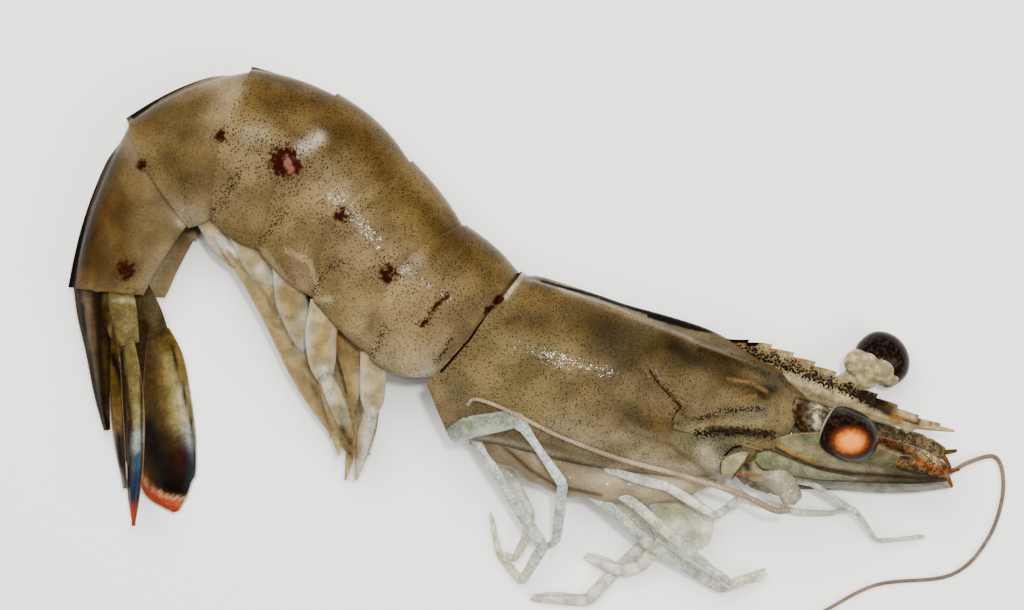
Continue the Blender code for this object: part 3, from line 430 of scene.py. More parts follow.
def eased(places, values, at):
    """A smooth curve through values at rising places, read at any places between the first and the last."""
    places, values = np.asarray(places, float), np.asarray(values, float)
    slopes = np.gradient(values, places, axis=0)
    at = np.clip(at, places[0], places[-1])
    k = np.clip(np.searchsorted(places, at, side="right") - 1, 0, len(places) - 2)
    step = places[k + 1] - places[k]
    u = (at - places[k]) / step
    if values.ndim > 1:
        step, u = step[..., None], u[..., None]
    return (
        (2 * u ** 3 - 3 * u ** 2 + 1) * values[k] + (u ** 3 - 2 * u ** 2 + u) * step * slopes[k]
        + (3 * u ** 2 - 2 * u ** 3) * values[k + 1] + (u ** 3 - u ** 2) * step * slopes[k + 1]
    )


def lengths_along(points):
    """Distance of each point of a path from its start."""
    return np.concatenate([[0], np.cumsum(np.linalg.norm(np.diff(points, axis=0), axis=1))])


def falloff(distance, width):
    """1 at no distance, down to 0 a little beyond half the width."""
    return np.exp(-((distance / (width / 2)) ** 2))


def ramp(values, low, high):
    """0 below low, 1 above high and smooth between."""
    u = np.clip((values - low) / (high - low), 0, 1)
    return u * u * (3 - 2 * u)


def stroke(a, b, line, width):
    """A soft line through way points, or a soft round spot on a single one: 1 along its middle."""
    nearest = np.hypot(a - line[0][0], b - line[0][1])
    for (a0, b0), (a1, b1) in zip(line, line[1:]):
        da, db = a1 - a0, b1 - b0
        u = np.clip(((a - a0) * da + (b - b0) * db) / (da * da + db * db), 0, 1)
        nearest = np.minimum(nearest, np.hypot(a - a0 - da * u, b - b0 - db * u))
    return falloff(nearest, width)


def laid_on(x, y, ground, marks):
    """Colours at (x, y): a ground and the marks laid on it, each (colour, strength, width, way points)."""
    tint = np.zeros((*np.shape(x), 3)) + np.array(ground)[:3]
    for colour, strength, width, line in marks:
        share = np.clip(strength * stroke(x, y, line, width), 0, 1)[..., None]
        tint = tint + (np.array(hex_colour(colour)[:3]) - tint) * share
    return tint


def normals_of(points):
    """Outward normals of a grid of rings, which are closed round their second axis."""
    along = np.gradient(points, axis=0)
    round_ring = np.roll(points, -1, axis=1) - np.roll(points, 1, axis=1)
    normals = np.cross(round_ring, along)
    normals /= np.maximum(np.linalg.norm(normals, axis=-1, keepdims=True), 1e-9)
    outward = np.sum(normals * (points - points.mean(axis=1, keepdims=True)))
    return normals * (1 if outward >= 0 else -1)


def frames_of(points):
    """Unit vectors along a path, flat beside it, and up from it."""
    run = np.gradient(points, axis=0)
    run /= np.linalg.norm(run, axis=1, keepdims=True)
    flat = np.cross(run, (0.0, 0.0, 1.0))
    flat /= np.maximum(np.linalg.norm(flat, axis=1, keepdims=True), 1e-9)
    return run, flat, np.cross(flat, run)


class Shape:
    """Collects closed lofts in millimetres, with values painted on their points, for one object."""

    def __init__(self, ground=None, marks=()):
        self.ground, self.tints = ground, marks
        self.points, self.faces, self.marks, self.count = [], [], [], 0

    def loft(self, rings, marks=None, ground=None):
        """Adds a surface through rings of points, both its ends closed with fans."""
        marks = dict(marks or {})
        if "tint" not in marks:
            marks["tint"] = laid_on(*seen_at(rings), ground or self.ground, self.tints)
        rows, sides = rings.shape[:2]
        hubs = np.stack([rings[0].mean(axis=0), rings[-1].mean(axis=0)])
        self.points.append(np.concatenate([rings.reshape(-1, 3), hubs]))
        index = self.count + np.arange(rows * sides).reshape(rows, sides)
        after = np.roll(index, -1, axis=1)
        sheet = np.stack([index[:-1], after[:-1], after[1:], index[1:]], axis=-1).reshape(-1, 4).tolist()
        first, last = self.count + rows * sides, self.count + rows * sides + 1
        sheet += [[b, a, first] for a, b in zip(index[0].tolist(), after[0].tolist())]
        sheet += [[a, b, last] for a, b in zip(index[-1].tolist(), after[-1].tolist())]
        middle = rings.mean(axis=(0, 1))
        beside = np.roll(rings, -1, axis=1)
        a, b, c, d = rings[:-1], beside[:-1], beside[1:], rings[1:]
        volume = np.sum((a - middle) * np.cross(b - middle, c - middle))
        volume += np.sum((a - middle) * np.cross(c - middle, d - middle))
        self.faces += sheet if volume > 0 else [face[::-1] for face in sheet]
        painted = {}
        for key, values in marks.items():
            values = np.asarray(values, float)
            flat = values.reshape(rows * sides, -1)
            painted[key] = np.concatenate([flat, values[0].reshape(sides, -1).mean(0)[None],
                                           values[-1].reshape(sides, -1).mean(0)[None]])
        self.marks.append((rows * sides + 2, painted))
        self.count += rows * sides + 2

    def make(self, name, material):
        """The object, in metres and on the floor, with its painted values as attributes."""
        points = np.concatenate(self.points)
        points[:, 2] = np.maximum(points[:, 2], 0.0)
        mesh = bpy.data.meshes.new(name)
        mesh.from_pydata((points * METRES).tolist(), [], self.faces)
        kinds = {key: values.shape[1] for _, painted in self.marks for key, values in painted.items()}
        for key, size in kinds.items():
            values = np.concatenate([
                painted.get(key, np.zeros((count, size))) for count, painted in self.marks])
            layer = mesh.attributes.new(key, "FLOAT" if size == 1 else "FLOAT_VECTOR", "POINT")
            layer.data.foreach_set("value" if size == 1 else "vector", values.astype(np.float32).ravel())
        mesh.polygons.foreach_set("use_smooth", [True] * len(mesh.polygons))
        mesh.materials.append(material)
        made = bpy.data.objects.new(name, mesh)
        bpy.context.scene.collection.objects.link(made)
        return made


def settle(piece, slot, *nodes):
    """Sets a finished piece on the still body, in place of its solids."""
    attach(piece, "root")
    if nodes:
        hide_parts(*nodes)


# Shield


def shield_point(s, t, side):
    """Points at s, t and distance side from the head's middle plane, towards its right."""
    lean, turn = math.cos(SHIELD_ROLL), math.sin(SHIELD_ROLL)
    up = (SHIELD_CENTRE - t) * lean - side * turn - SHIELD_CENTRE
    z = SHIELD_HEIGHT - SHIELD_DIP * s + (SHIELD_CENTRE - t) * turn + side * lean
    x = SHIELD_BACK[0] + SHIELD_AXIS[0] * s + SHIELD_UP[0] * up
    y = SHIELD_BACK[1] + SHIELD_AXIS[1] * s + SHIELD_UP[1] * up
    return place(x, y, z)


def seen_depth(t, side):
    """Depth below the dorsal line as the eye above sees it, alike on both sides."""
    return SHIELD_CENTRE - (SHIELD_CENTRE - t) * math.cos(SHIELD_ROLL) + np.abs(side) * math.sin(SHIELD_ROLL)


def sweep_at(share, t):
    """How far a ring is swept along s at depth t by the shield's slanted ends."""
    rear = -REAR_SWEEP * np.minimum(t, REAR_SWEEP_DEPTH) / REAR_SWEEP_DEPTH
    rear = rear + np.maximum(t - REAR_SWEEP_DEPTH, 0) * REAR_CORNER_RISE
    front = -FRONT_SWEEP * np.maximum(t - FRONT_SWEEP_FROM, 0)
    return (1 - share) ** 2 * rear + share ** 2 * front


def egg(angle):
    """Half width and height, each from -1 to 1, of a deep egg-shaped section at an angle from its top."""
    return np.copysign(np.abs(np.sin(angle)) ** 0.85, np.sin(angle)), np.cos(angle)


def body_section(stations, s, angle, shrink=0.0):
    """Depth t and distance side on the shield, thorax or head at s and an angle from the top."""
    table = np.array(stations)
    top, bottom, half = (eased(table[:, 0], table[:, n], s) for n in (1, 2, 3))
    wide, high = egg(angle)
    return (top + bottom) / 2 - high * ((bottom - top) / 2 - shrink), wide * (half - shrink)


# Marks are (colour, strength, width, way points); lines, bars and stains are (strength, width, way points).
# A bar is a place where the dots stand closer and larger.
SHIELD_MARKS = [
    ("#625232", 0.8, 9.0, [(-5.0, -7.8), (-0.8, -13.8)]),
    ("#5c5238", 0.6, 7.0, [(-7.4, -11.4), (-1.4, -15.0)]),
    ("#473718", 0.85, 6.0, [(2.8, 0.6), (10.6, -2.4)]), ("#544629", 0.7, 8.0, [(4.0, -5.4)]),
    ("#5a4b2e", 0.95, 5.6, [(6.4, -3.6), (8.4, -8.4), (10.3, -11.4)]),
    ("#3f3219", 0.75, 3.4, [(-1.4, -2.0), (3.4, -2.5), (8.8, -3.2)]),
    ("#5c4d32", 0.8, 8.0, [(10.6, -15.0), (15.4, -16.2)]),
    ("#231a0e", 0.95, 4.6, [(11.2, -3.0), (13.2, -4.0)]),
    ("#262015", 0.75, 5.4, [(12.7, -4.8), (13.6, -6.6)]),
    ("#42341e", 0.8, 5.6, [(16.3, -5.6), (18.2, -8.0)]),
    ("#140d06", 0.95, 3.6, [(19.2, -4.9), (21.4, -6.2), (24.7, -7.3)]),
    ("#2a200e", 0.7, 3.2, [(23.2, -5.6), (26.8, -8.0)]),
    ("#4f4129", 0.85, 6.0, [(22.6, -11.4), (17.2, -11.4)]),
    ("#433110", 0.85, 3.6, [(16.0, -14.8), (18.7, -14.3)]),
    ("#2c2417", 0.7, 2.6, [(13.9, -13.1), (15.4, -14.3)]),
    ("#565039", 0.9, 4.6, [(21.4, -16.4), (26.2, -17.6)]),
    ("#4c412b", 0.85, 4.6, [(24.4, -13.8), (28.0, -12.4)]),
    ("#2f220f", 0.85, 2.8, [(26.2, -8.8), (30.2, -10.7)]),
    ("#1d1409", 0.9, 1.6, [(29.8, -10.4), (31.9, -10.0)]),
    ("#33280f", 0.8, 2.0, [(18.2, -4.2), (16.6, -5.6)]),
    ("#564a31", 0.8, 2.2, [(28.0, -13.1), (30.7, -13.6)]),
    ("#8d7d61", 0.75, 0.7, [(5.8, 1.9), (13.0, -0.8), (21.4, -4.0)]),
    ("#5e441f", 1.0, 0.5, [(10.6, -0.1), (17.8, -2.5), (22.6, -4.9), (28.0, -6.8), (31.6, -8.0)]),
    ("#1e1409", 0.7, 1.0, [(22.6, -5.4), (28.0, -7.3), (31.9, -8.8)]),
    ("#6e5f43", 0.8, 1.2, [(14.4, -15.0), (18.0, -16.6)]),
    ("#6a5a40", 1.0, 0.45, [(14.2, -14.9), (17.8, -16.3), (18.7, -17.2), (22.6, -20.0)]),
    ("#634b2b", 0.9, 0.4, [(25.9, -8.9), (28.8, -9.4), (30.5, -10.4)]),
    ("#634b2b", 0.8, 0.4, [(27.1, -11.3), (29.3, -10.9)]),
    ("#665839", 0.8, 1.0, [(21.0, -15.0), (25.0, -14.3), (29.8, -14.3)]),
    ("#2d3424", 0.5, 2.4, [(21.4, -15.7), (25.0, -16.2)]),
    ("#1e1209", 0.9, 1.1, [(24.1, -14.9), (27.4, -15.2), (31.0, -15.5)]),
    ("#6a583c", 0.9, 1.6, [(-9.0, -9.0), (-8.5, -12.0), (-6.7, -15.0), (-4.8, -16.0)]),
    ("#3c160e", 0.9, 0.8, [(0.8, 4.4), (-1.4, 1.1), (-2.9, -0.1)]),
    ("#4a3a26", 0.8, 0.6, [(31.9, -9.2), (32.3, -10.4), (31.7, -12.0), (32.0, -14.4), (30.4, -15.8)]),
    ("#8f826c", 0.9, 0.7, [(-6.8, -15.2), (-1.4, -16.3), (5.8, -18.0), (13.0, -19.8), (21.4, -21.7)]),
    ("#73654b", 0.85, 5.0, [(5.8, -15.0), (15.4, -18.0)]),
    ("#9b8d72", 0.85, 3.2, [(14.9, -19.6), (21.4, -20.8)]),
    ("#8b8269", 0.9, 2.6, [(23.3, -18.1), (25.2, -19.6)]), ("#9d8f77", 0.9, 0.7, [(1.4, 4.0), (-0.8, 1.0)]),
]
SHIELD_LINES = [
    (0.75, 0.34, [(3.5, 2.9), (10.6, 0.8)]), (0.95, 0.45, [(10.6, 0.8), (16.6, -1.0)]),
    (1.1, 0.8, [(16.6, -1.0), (21.4, -2.5), (27.0, -4.1)]),
    (0.6, 0.36, [(16.6, -7.9), (17.8, -9.7), (20.3, -12.2), (19.2, -13.8)]),
    (0.5, 0.3, [(22.6, -13.6), (25.0, -13.0), (28.0, -12.4), (30.0, -12.4)]),
    (0.5, 0.5, [(22.8, -15.1), (25.6, -15.1), (31.0, -15.5)]),
    (0.9, 0.36, [(-8.5, -8.0), (-5.0, -4.0), (-2.6, -0.4)]),
    (0.7, 0.4, [(25.6, -18.0), (26.5, -17.0), (28.3, -16.6)]),
]
SHIELD_STAINS = [(0.9, 0.9, [(-2.9, -0.1), (-1.4, 0.6)])]
SHIELD_BARS = [
    (1.4, 1.5, [(22.2, -15.4), (27.4, -15.1), (31.2, -15.6)]),
    (0.9, 1.0, [(19.2, -13.6), (20.4, -12.1), (17.2, -8.5)]), (0.5, 2.4, [(27.6, -9.6), (30.4, -11.4)]),
    (0.5, 0.9, [(-8.5, -8.8), (-4.1, -3.0)]), (1.3, 0.9, [(22.2, -13.7), (25.6, -12.7), (30.0, -12.4)]),
    (0.8, 1.2, [(22.6, -5.6), (28.0, -7.3), (33.4, -9.5)]),
    (0.9, 1.2, [(28.0, -20.5), (25.2, -18.6), (26.2, -17.2), (28.6, -16.6)]),
]


def shield_relief(s, t, side):
    """Height of the ridges and grooves on the shield."""
    depth = seen_depth(t, side)
    rise = np.zeros_like(s)
    for line, width, high in [*SHIELD_RIDGES.values(), *SHIELD_GROOVES.values()]:
        rise += high * stroke(s, depth, line, width * RELIEF_SOFTNESS)
    # The crest's keel and furrow stop short of the rear edge and of the flanks.
    crest = ramp(t, 2.5, 1.0) * ramp(s, 0.5, 3.0)
    (keel, keel_width), (furrow, furrow_width) = CREST_KEEL, CREST_FURROW
    rise += crest * (keel * falloff(side, keel_width) - furrow * falloff(side, furrow_width))
    return rise


def lines_at(x, y, lines):
    """The strongest of some soft lines at (x, y), each (strength, width, way points)."""
    return np.max([strength * stroke(x, y, line, width) for strength, width, line in lines], axis=0)


def make_carapace(material, ground, wall):
    """The shield, with its free edges turned in, and its side spines."""
    # Rings stand closer together near the rear edge, where the coloured lines are finest.
    rows = np.concatenate([np.linspace(0, 3, 22)[:-1], np.linspace(3, SHIELD_LENGTH, 190)])
    around = np.linspace(-math.pi, math.pi, 290, endpoint=False)
    s0, angle = np.meshgrid(rows, around, indexing="ij")
    t, side = body_section(SHIELD_STATIONS, s0, angle)
    s = s0 + sweep_at(s0 / SHIELD_LENGTH, t)
    outer = shield_point(s, t, side)
    x, y = seen_at(shield_point(s, t, np.abs(side)))
    outer += normals_of(outer) * shield_relief(s, t, side)[..., None]
    depth = seen_depth(t, side)
    rear_edge = s - sweep_at(0.0, t)
    red_edge = 0.6 * falloff(rear_edge - 0.1, 0.5) * ramp(depth, 7.0, 6.0)
    marks = {
        "tint": laid_on(x, y, ground, SHIELD_MARKS),
        "dots": 0.75 + 0.25 * ramp(s, 30.0, 10.0),
        "bars": lines_at(x, y, SHIELD_BARS),
        "line": lines_at(x, y, SHIELD_LINES),
        "stain": lines_at(x, y, SHIELD_STAINS) + red_edge,
    }
    shape = Shape(ground)
    # Rings inside the free edges, as (distance from the edge, distance in from the outer skin)
    front_rims, rear_rims = [], []
    for back, inset in ((0.1, 0.12), (0.5, wall), (3.0, wall + 0.1), (5.0, wall + 2.5)):
        t_in, side_in = body_section(SHIELD_STATIONS, s0[-1] - back, angle[-1], inset)
        front_rims.append(shield_point(s0[-1] - back + sweep_at(1.0, t_in), t_in, side_in))
    for ahead, inset in ((5.0, wall + 2.5), (3.0, wall), (0.5, wall * 0.8), (0.08, 0.08)):
        t_in, side_in = body_section(SHIELD_STATIONS, s0[0] + ahead, angle[0], inset)
        rear_rims.append(shield_point(s0[0] + ahead + sweep_at(0.0, t_in), t_in, side_in))
    rings = np.concatenate([np.stack(rear_rims), outer, np.stack(front_rims)])
    for key, values in marks.items():
        first, last = (np.repeat(end, len(rear_rims), axis=0) for end in (values[:1], values[-1:]))
        marks[key] = np.concatenate([first, values, last])
    shape.loft(rings, marks)
    for at, depth, length in SIDE_SPINES:
        for way in (1, -1):
            add_side_spine(shape, at, depth, length, way)
    return shape.make("shield", material)


def side_at(s, t):
    """How far the shield stands out from the middle plane at s and t."""
    table = np.array(SHIELD_STATIONS)
    top, bottom, half = (eased(table[:, 0], table[:, n], s) for n in (1, 2, 3))
    high = np.clip(((top + bottom) / 2 - t) / ((bottom - top) / 2), -1, 1)
    return half * egg(np.arccos(high))[0]


def add_side_spine(shape, s, t, length, way):
    """A sharp spine that lies forward along the shield."""
    turns = np.linspace(0, 2 * math.pi, 10, endpoint=False)
    rings = []
    for u in np.linspace(0, 1, 9):
        at = s - SPINE_ROOT + (length + SPINE_ROOT) * u
        radius = SPINE_RADIUS * (1 - u) ** 0.8 + 0.03
        out = side_at(at, t) + 0.3 * ramp(u, 0.1, 1.0) - 0.2
        side = way * (out + radius * np.sin(turns))
        rings.append(shield_point(at + 0 * turns, t + radius * np.cos(turns), side))
    shape.loft(np.stack(rings))


ROSTRUM_MARKS = [
    ("#4f4022", 0.9, 1.9, [(26.8, -4.8), (33.4, -7.6), (40.6, -10.4), (45.4, -12.4)]),
    ("#120904", 1.0, 1.1, [(22.6, -3.2), (26.9, -3.8)]),
    ("#8d7f60", 0.9, 1.4, [(21.4, -4.4), (28.0, -6.7), (34.6, -8.6), (40.6, -11.2), (45.4, -13.0)]),
    ("#3a2c10", 0.9, 0.5, [(28.0, -6.0), (34.6, -8.0), (40.6, -10.4), (44.2, -11.9)]),
    ("#6a4518", 0.8, 0.5, [(27.2, -4.9), (28.4, -4.4), (29.8, -4.6)]),
    ("#6a4518", 0.8, 0.5, [(30.1, -5.8), (31.2, -5.3), (32.3, -5.6)]),
    ("#6a4518", 0.8, 0.5, [(33.2, -7.3), (34.2, -6.6), (35.5, -6.7)]),
    ("#6a4518", 0.8, 0.5, [(35.9, -7.9), (36.7, -7.3), (37.8, -7.6)]),
    ("#806a42", 0.7, 1.2, [(38.8, -8.8), (40.6, -9.4)]),
    ("#100a04", 0.95, 1.7, [(41.8, -10.8), (43.8, -11.6), (45.7, -12.4)]),
    ("#1c1206", 0.8, 1.0, [(40.6, -10.2), (43.0, -11.6), (45.7, -13.1)]),
    ("#6b4416", 0.85, 1.0, [(45.7, -11.5), (47.2, -11.9)]),
    ("#8c7a52", 0.9, 1.8, [(46.9, -12.4), (49.6, -13.0), (52.8, -14.5)]),
    ("#4a3210", 0.9, 0.55, [(49.2, -12.0), (48.8, -13.9)]),
    ("#5a4016", 0.8, 0.5, [(50.3, -12.6), (50.2, -14.3)]),
    ("#5a4016", 0.8, 0.5, [(51.2, -13.2), (51.0, -14.4)]),
    ("#6b4a1c", 0.8, 0.5, [(52.1, -13.7), (52.0, -14.6)]),
    ("#180e05", 0.95, 0.45, [(48.4, -11.9), (50.2, -12.7), (52.6, -13.8)]),
    ("#150c05", 0.95, 0.5, [(42.7, -11.9), (45.7, -13.3), (48.7, -14.3)]),
    ("#7a4a1a", 0.8, 0.8, [(45.7, -13.4), (46.6, -13.7)]),
]
ROSTRUM_BARS = [
    (1.2, 1.2, [(22.6, -3.5), (26.2, -4.4)]), (1.5, 1.9, [(26.8, -5.0), (29.8, -6.1), (32.8, -7.3)]),
    (1.5, 1.5, [(32.8, -7.4), (36.4, -8.8), (40.6, -10.6), (43.6, -11.9)]),
    (1.3, 1.3, [(28.8, -5.0), (29.4, -5.4)]), (1.3, 1.3, [(31.4, -6.0), (32.0, -6.4)]),
    (1.3, 1.1, [(33.8, -6.8), (34.3, -7.3)]), (1.3, 1.1, [(36.1, -7.7), (36.5, -8.3)]),
    (1.3, 1.1, [(38.4, -8.8), (38.9, -9.5)]), (1.5, 1.4, [(40.3, -9.6), (40.8, -10.4)]),
    (1.8, 1.7, [(42.2, -10.6), (44.2, -11.6)]),
]


# Rows of the rostrum's section from crest to under edge, as (share of depth, share of half thickness)
ROSTRUM_SECTION = [
    (0.0, 0.06), (0.08, 0.24), (0.16, 0.34), (0.26, 0.46), (0.36, 0.56), (0.46, 0.72), (0.56, 0.96),
    (0.62, 1.05), (0.68, 1.0), (0.76, 0.74), (0.86, 0.5), (0.94, 0.34), (1.0, 0.12),
]


def make_rostrum(material, ground):
    """The saw-toothed blade with its teeth leaning forward."""
    s = np.arange(ROSTRUM_CREST[0][0], ROSTRUM_TIP, 0.09)
    tables = (ROSTRUM_CREST, ROSTRUM_UNDER, ROSTRUM_THICKNESS)
    crest, under, thick = (eased([p for p, _ in table], [v for _, v in table], s) for table in tables)
    crest = crest - GULLET_DEPTH * ramp(s, 26.0, 30.0) * ramp(s, 54.0, 46.0)
    rise = np.zeros_like(s)
    for tip in [TOOTH_FIRST] + [TOOTH_SECOND + TOOTH_SPACING * k for k in range(TOOTH_COUNT)]:
        # Teeth ahead of the eyes, where s is 40, grow lower to half their height.
        high = TOOTH_HEIGHT * (1 - 0.5 * max(tip - 40, 0) / (ROSTRUM_TIP - 40))
        back = np.clip((s - tip + TOOTH_BASE) / TOOTH_BASE, 0, 1) ** 0.7
        front = np.clip((tip + TOOTH_FRONT - s) / TOOTH_FRONT, 0, 1) ** 1.2
        rise = np.maximum(rise, high * np.where(s <= tip, back, front))
    below = UNDER_TOOTH_HEIGHT * np.clip(1 - np.abs(s - UNDER_TOOTH) / UNDER_TOOTH_BASE, 0, 1) ** 1.2
    section = np.array(ROSTRUM_SECTION)
    full = np.concatenate([section, section[::-1] * (1, -1)])
    rings = []
    for depth, out in full:
        lift = rise * (1 - ramp(depth, 0.0, 0.45))
        t = crest + (under - crest) * depth - lift + below * ramp(depth, 0.7, 1.0)
        taper = np.clip((ROSTRUM_TIP - s) / 2.0, 0.15, 1)
        lean = TOOTH_LEAN * rise * np.clip(1 - depth / 0.3, 0, 1)
        rings.append(shield_point(np.minimum(s + lean, ROSTRUM_TIP), t, out * thick / 2 * taper))
    rings = np.stack(rings, axis=1)
    x, y = seen_at(rings)
    marks = {
        "dots": np.full(x.shape, 0.35), "bars": lines_at(x, y, ROSTRUM_BARS),
        "line": 0.9 * ramp(full[:, 0], 0.2, 0.05)[None] * ramp(s, 29.6, 29.0)[:, None],
    }
    shape = Shape(ground, ROSTRUM_MARKS)
    shape.loft(rings, marks)
    return shape.make("rostrum", material)


# Abdomen

# Half of a somite's section from its back round to the middle of its belly, as (place, half width, height)
SOMITE_SECTION = [
    (0.62, 0.952, -0.368), (0.70, 0.89, -0.62), (0.77, 0.80, -0.86), (0.82, 0.70, -0.985),
    (0.845, 0.64, -1.0), (0.87, 0.60, -0.94), (0.91, 0.60, -0.74), (0.95, 0.46, -0.62), (1.0, 0.0, -0.58),
]


def somite_section(place_round):
    """Half width and height round a somite at places from -1 to 1, with 0 at the middle of the back."""
    q = np.abs(place_round)
    wide, high = egg(q * math.pi)
    table = np.array([(0.5, *egg(0.5 * math.pi)), (0.56, *egg(0.56 * math.pi)), *SOMITE_SECTION])
    low = q > 0.58
    wide = np.where(low, eased(table[:, 0], table[:, 1], q), np.abs(wide))
    high = np.where(low, eased(table[:, 0], table[:, 2], q), high)
    return wide * np.sign(place_round), high


def joint_spot(index, high):
    """Places on the bowed line between two somites at heights from 1 at the back to -1 at the pleura."""
    dorsal, hinge, ventral = (np.array(JOINTS[index][k]) for k in range(3))
    chord = dorsal - ventral
    share = min(max((hinge - ventral) @ chord / (chord @ chord), 0.3), 0.7)
    bow = hinge - (ventral + chord * share)
    at = (high + 1) / 2
    rise = np.where(at < share, at / share, (1 - at) / (1 - share))
    return ventral + chord * at[..., None] + bow * (1 - (1 - rise) ** 2)[..., None]


# Hinges between the plates, as (place, width of the dark red blotch there)
HINGES = [
    ((-2.8, -0.8), 1.5), ((-14.8, 3.8), 2.3), ((-20.5, 10.9), 2.1), ((-27.2, 17.2), 3.7),
    ((-35.0, 20.3), 1.5), ((-44.3, 16.8), 1.5), ((-46.3, 4.2), 2.4),
]
ABDOMEN_MARKS = [
    ("#56452c", 0.8, 9.0, [(-6.2, 0.6)]), ("#6b5a3c", 0.85, 9.0, [(-14.0, 1.6)]),
    ("#66553a", 0.8, 9.0, [(-9.8, -4.8)]), ("#7a6a4f", 0.8, 6.0, [(-11.0, -7.2), (-15.2, -7.2)]),
    ("#6f5f42", 0.8, 5.0, [(-18.2, -3.0)]), ("#75633f", 0.7, 4.0, [(-15.4, 2.0)]),
    ("#69573b", 0.8, 9.0, [(-18.2, 6.6)]), ("#6c5a3d", 0.8, 10.0, [(-24.2, 12.6)]),
    ("#5c4b2d", 0.7, 9.0, [(-29.0, 10.8), (-25.4, 5.4)]), ("#6e5c40", 0.8, 8.0, [(-32.0, 18.6)]),
    ("#5f4f35", 0.8, 7.0, [(-36.2, 13.8)]), ("#5f503c", 0.8, 6.0, [(-40.4, 12.0)]),
    ("#4c3c1f", 0.8, 8.0, [(-38.6, 17.4)]), ("#524122", 0.8, 6.0, [(-47.0, 18.6)]),
    ("#3a2a10", 0.85, 6.0, [(-48.5, 13.1)]), ("#43371f", 0.8, 5.0, [(-41.3, 10.0)]),
    ("#6a5c43", 0.8, 4.0, [(-43.2, 2.8), (-41.6, 5.2)]),
    ("#3c260a", 0.9, 6.0, [(-50.0, 10.8), (-50.9, 4.8)]), ("#2e1d08", 0.8, 5.0, [(-46.8, 4.4)]),
    ("#221606", 0.95, 2.0, [(-46.8, 19.1), (-49.3, 15.0), (-50.6, 10.8), (-51.4, 5.2)]),
    ("#4e3c19", 0.8, 6.5, [(-0.8, 5.2), (-8.6, 8.4), (-13.4, 13.8)]),
    ("#382a10", 0.75, 2.6, [(-3.1, 4.0), (-6.8, 7.8), (-9.8, 10.9)]),
    ("#463416", 0.9, 6.0, [(-21.2, 22.8), (-25.4, 24.6), (-29.6, 26.0)]),
    ("#3c2a10", 0.7, 2.4, [(-28.8, 23.6), (-30.0, 25.1)]),
    ("#463416", 0.85, 4.6, [(-15.2, 16.8), (-19.4, 21.2)]),
    ("#4a3918", 0.8, 4.6, [(-32.6, 24.4), (-37.4, 24.6)]),
    ("#402d10", 0.8, 4.6, [(-41.6, 23.6), (-44.0, 22.0)]),
    ("#6b593c", 0.7, 3.4, [(-34.8, 25.8), (-35.8, 22.2)]),
    ("#3a290f", 0.7, 2.6, [(-22.4, 20.6), (-18.2, 19.8), (-14.6, 14.8)]),
    ("#3e2d11", 0.7, 2.0, [(-21.8, 18.6), (-25.4, 19.8), (-27.8, 22.2)]),
    ("#7a6a50", 0.8, 2.4, [(-35.6, 27.2), (-33.6, 25.6)]),
    ("#776749", 0.9, 3.0, [(-36.6, 27.0), (-34.4, 26.8), (-34.8, 23.4)]),
    ("#65573f", 0.8, 2.4, [(-46.6, 19.8), (-45.1, 17.4)]),
    ("#3f2d13", 0.9, 2.2, [(-46.7, 12.6), (-47.2, 7.8), (-46.8, 5.2)]),
    ("#7b6e59", 0.6, 3.0, [(-39.2, 10.8), (-36.8, 9.0)]),
    ("#433117", 0.8, 1.6, [(-6.8, 8.4), (-10.4, 5.2), (-13.2, 4.2)]),
    ("#7f6f58", 0.8, 2.0, [(-12.8, 4.0), (-11.3, 5.2)]), ("#4a361a", 0.8, 1.2, [(-7.7, 10.4), (-5.0, 8.3)]),
    ("#503c21", 0.9, 0.5, [(-5.0, 7.8), (-7.9, 4.4), (-10.1, -3.0)]),
    ("#534126", 0.8, 0.5, [(-12.8, 16.8), (-15.6, 12.6), (-19.2, 10.7)]),
    ("#6d5e42", 0.6, 2.6, [(-19.0, 12.8), (-21.8, 15.2)]),
    ("#9a8d77", 0.8, 1.8, [(-25.4, 18.6), (-23.3, 20.0)]),
    ("#8b7c64", 0.6, 1.6, [(-32.0, 20.5), (-30.0, 20.3)]),
    ("#a39a87", 0.7, 1.4, [(-9.8, -8.0), (-12.8, -9.6)]),
    ("#5d4c30", 0.7, 2.2, [(-10.6, -4.2), (-9.1, -3.0)]),
    ("#93805f", 0.7, 0.9, [(-39.8, 10.0), (-37.7, 7.8), (-32.6, 6.6)]),
    ("#43361d", 0.85, 3.6, [(-39.8, 20.0), (-40.8, 17.4), (-39.1, 13.8)]),
    ("#8f7e5f", 0.7, 0.8, [(-30.0, 6.6), (-25.4, 0.8), (-21.8, 0.6)]),
    ("#6e5a40", 0.9, 2.4, [(-25.9, 5.2), (-25.0, 2.0)]),
    ("#857355", 0.9, 0.6, [(-27.2, 6.6), (-24.2, 5.2), (-23.3, 1.8)]),
]
SIDE_BARS = [
    (1.0, 1.0, [(-7.3, -4.2), (-8.2, -5.6), (-9.1, -6.8)]),
    (1.0, 1.2, [(-15.4, -2.8), (-16.1, -4.4), (-16.8, -6.0)]),
    (0.95, 1.3, [(-20.6, 5.2), (-22.8, 3.7), (-24.0, 1.1)]),
    (0.9, 1.6, [(-27.5, 11.0), (-29.0, 9.2), (-30.0, 7.6)]),
    (0.9, 1.8, [(-33.1, 15.2), (-34.6, 13.2), (-35.8, 11.2)]), (0.6, 1.5, [(-39.4, 15.0), (-39.1, 12.0)]),
    (0.7, 1.6, [(-46.1, 1.8), (-44.6, 1.6)]), (0.6, 1.2, [(-8.9, -0.6), (-11.0, -2.0)]),
    (0.4, 1.4, [(-8.2, -7.8), (-9.8, -8.5)]),
]
SIDE_STAINS = [
    (0.95, 0.8, [(-7.7, 1.1), (-8.9, 0.1), (-10.8, -2.5)]), (1.0, 1.0, [(-1.4, 1.1), (-2.9, -0.8)]),
]
SIDE_BRUISES = [(1.0, 1.2, [(-26.6, 16.2), (-27.1, 17.6)])]
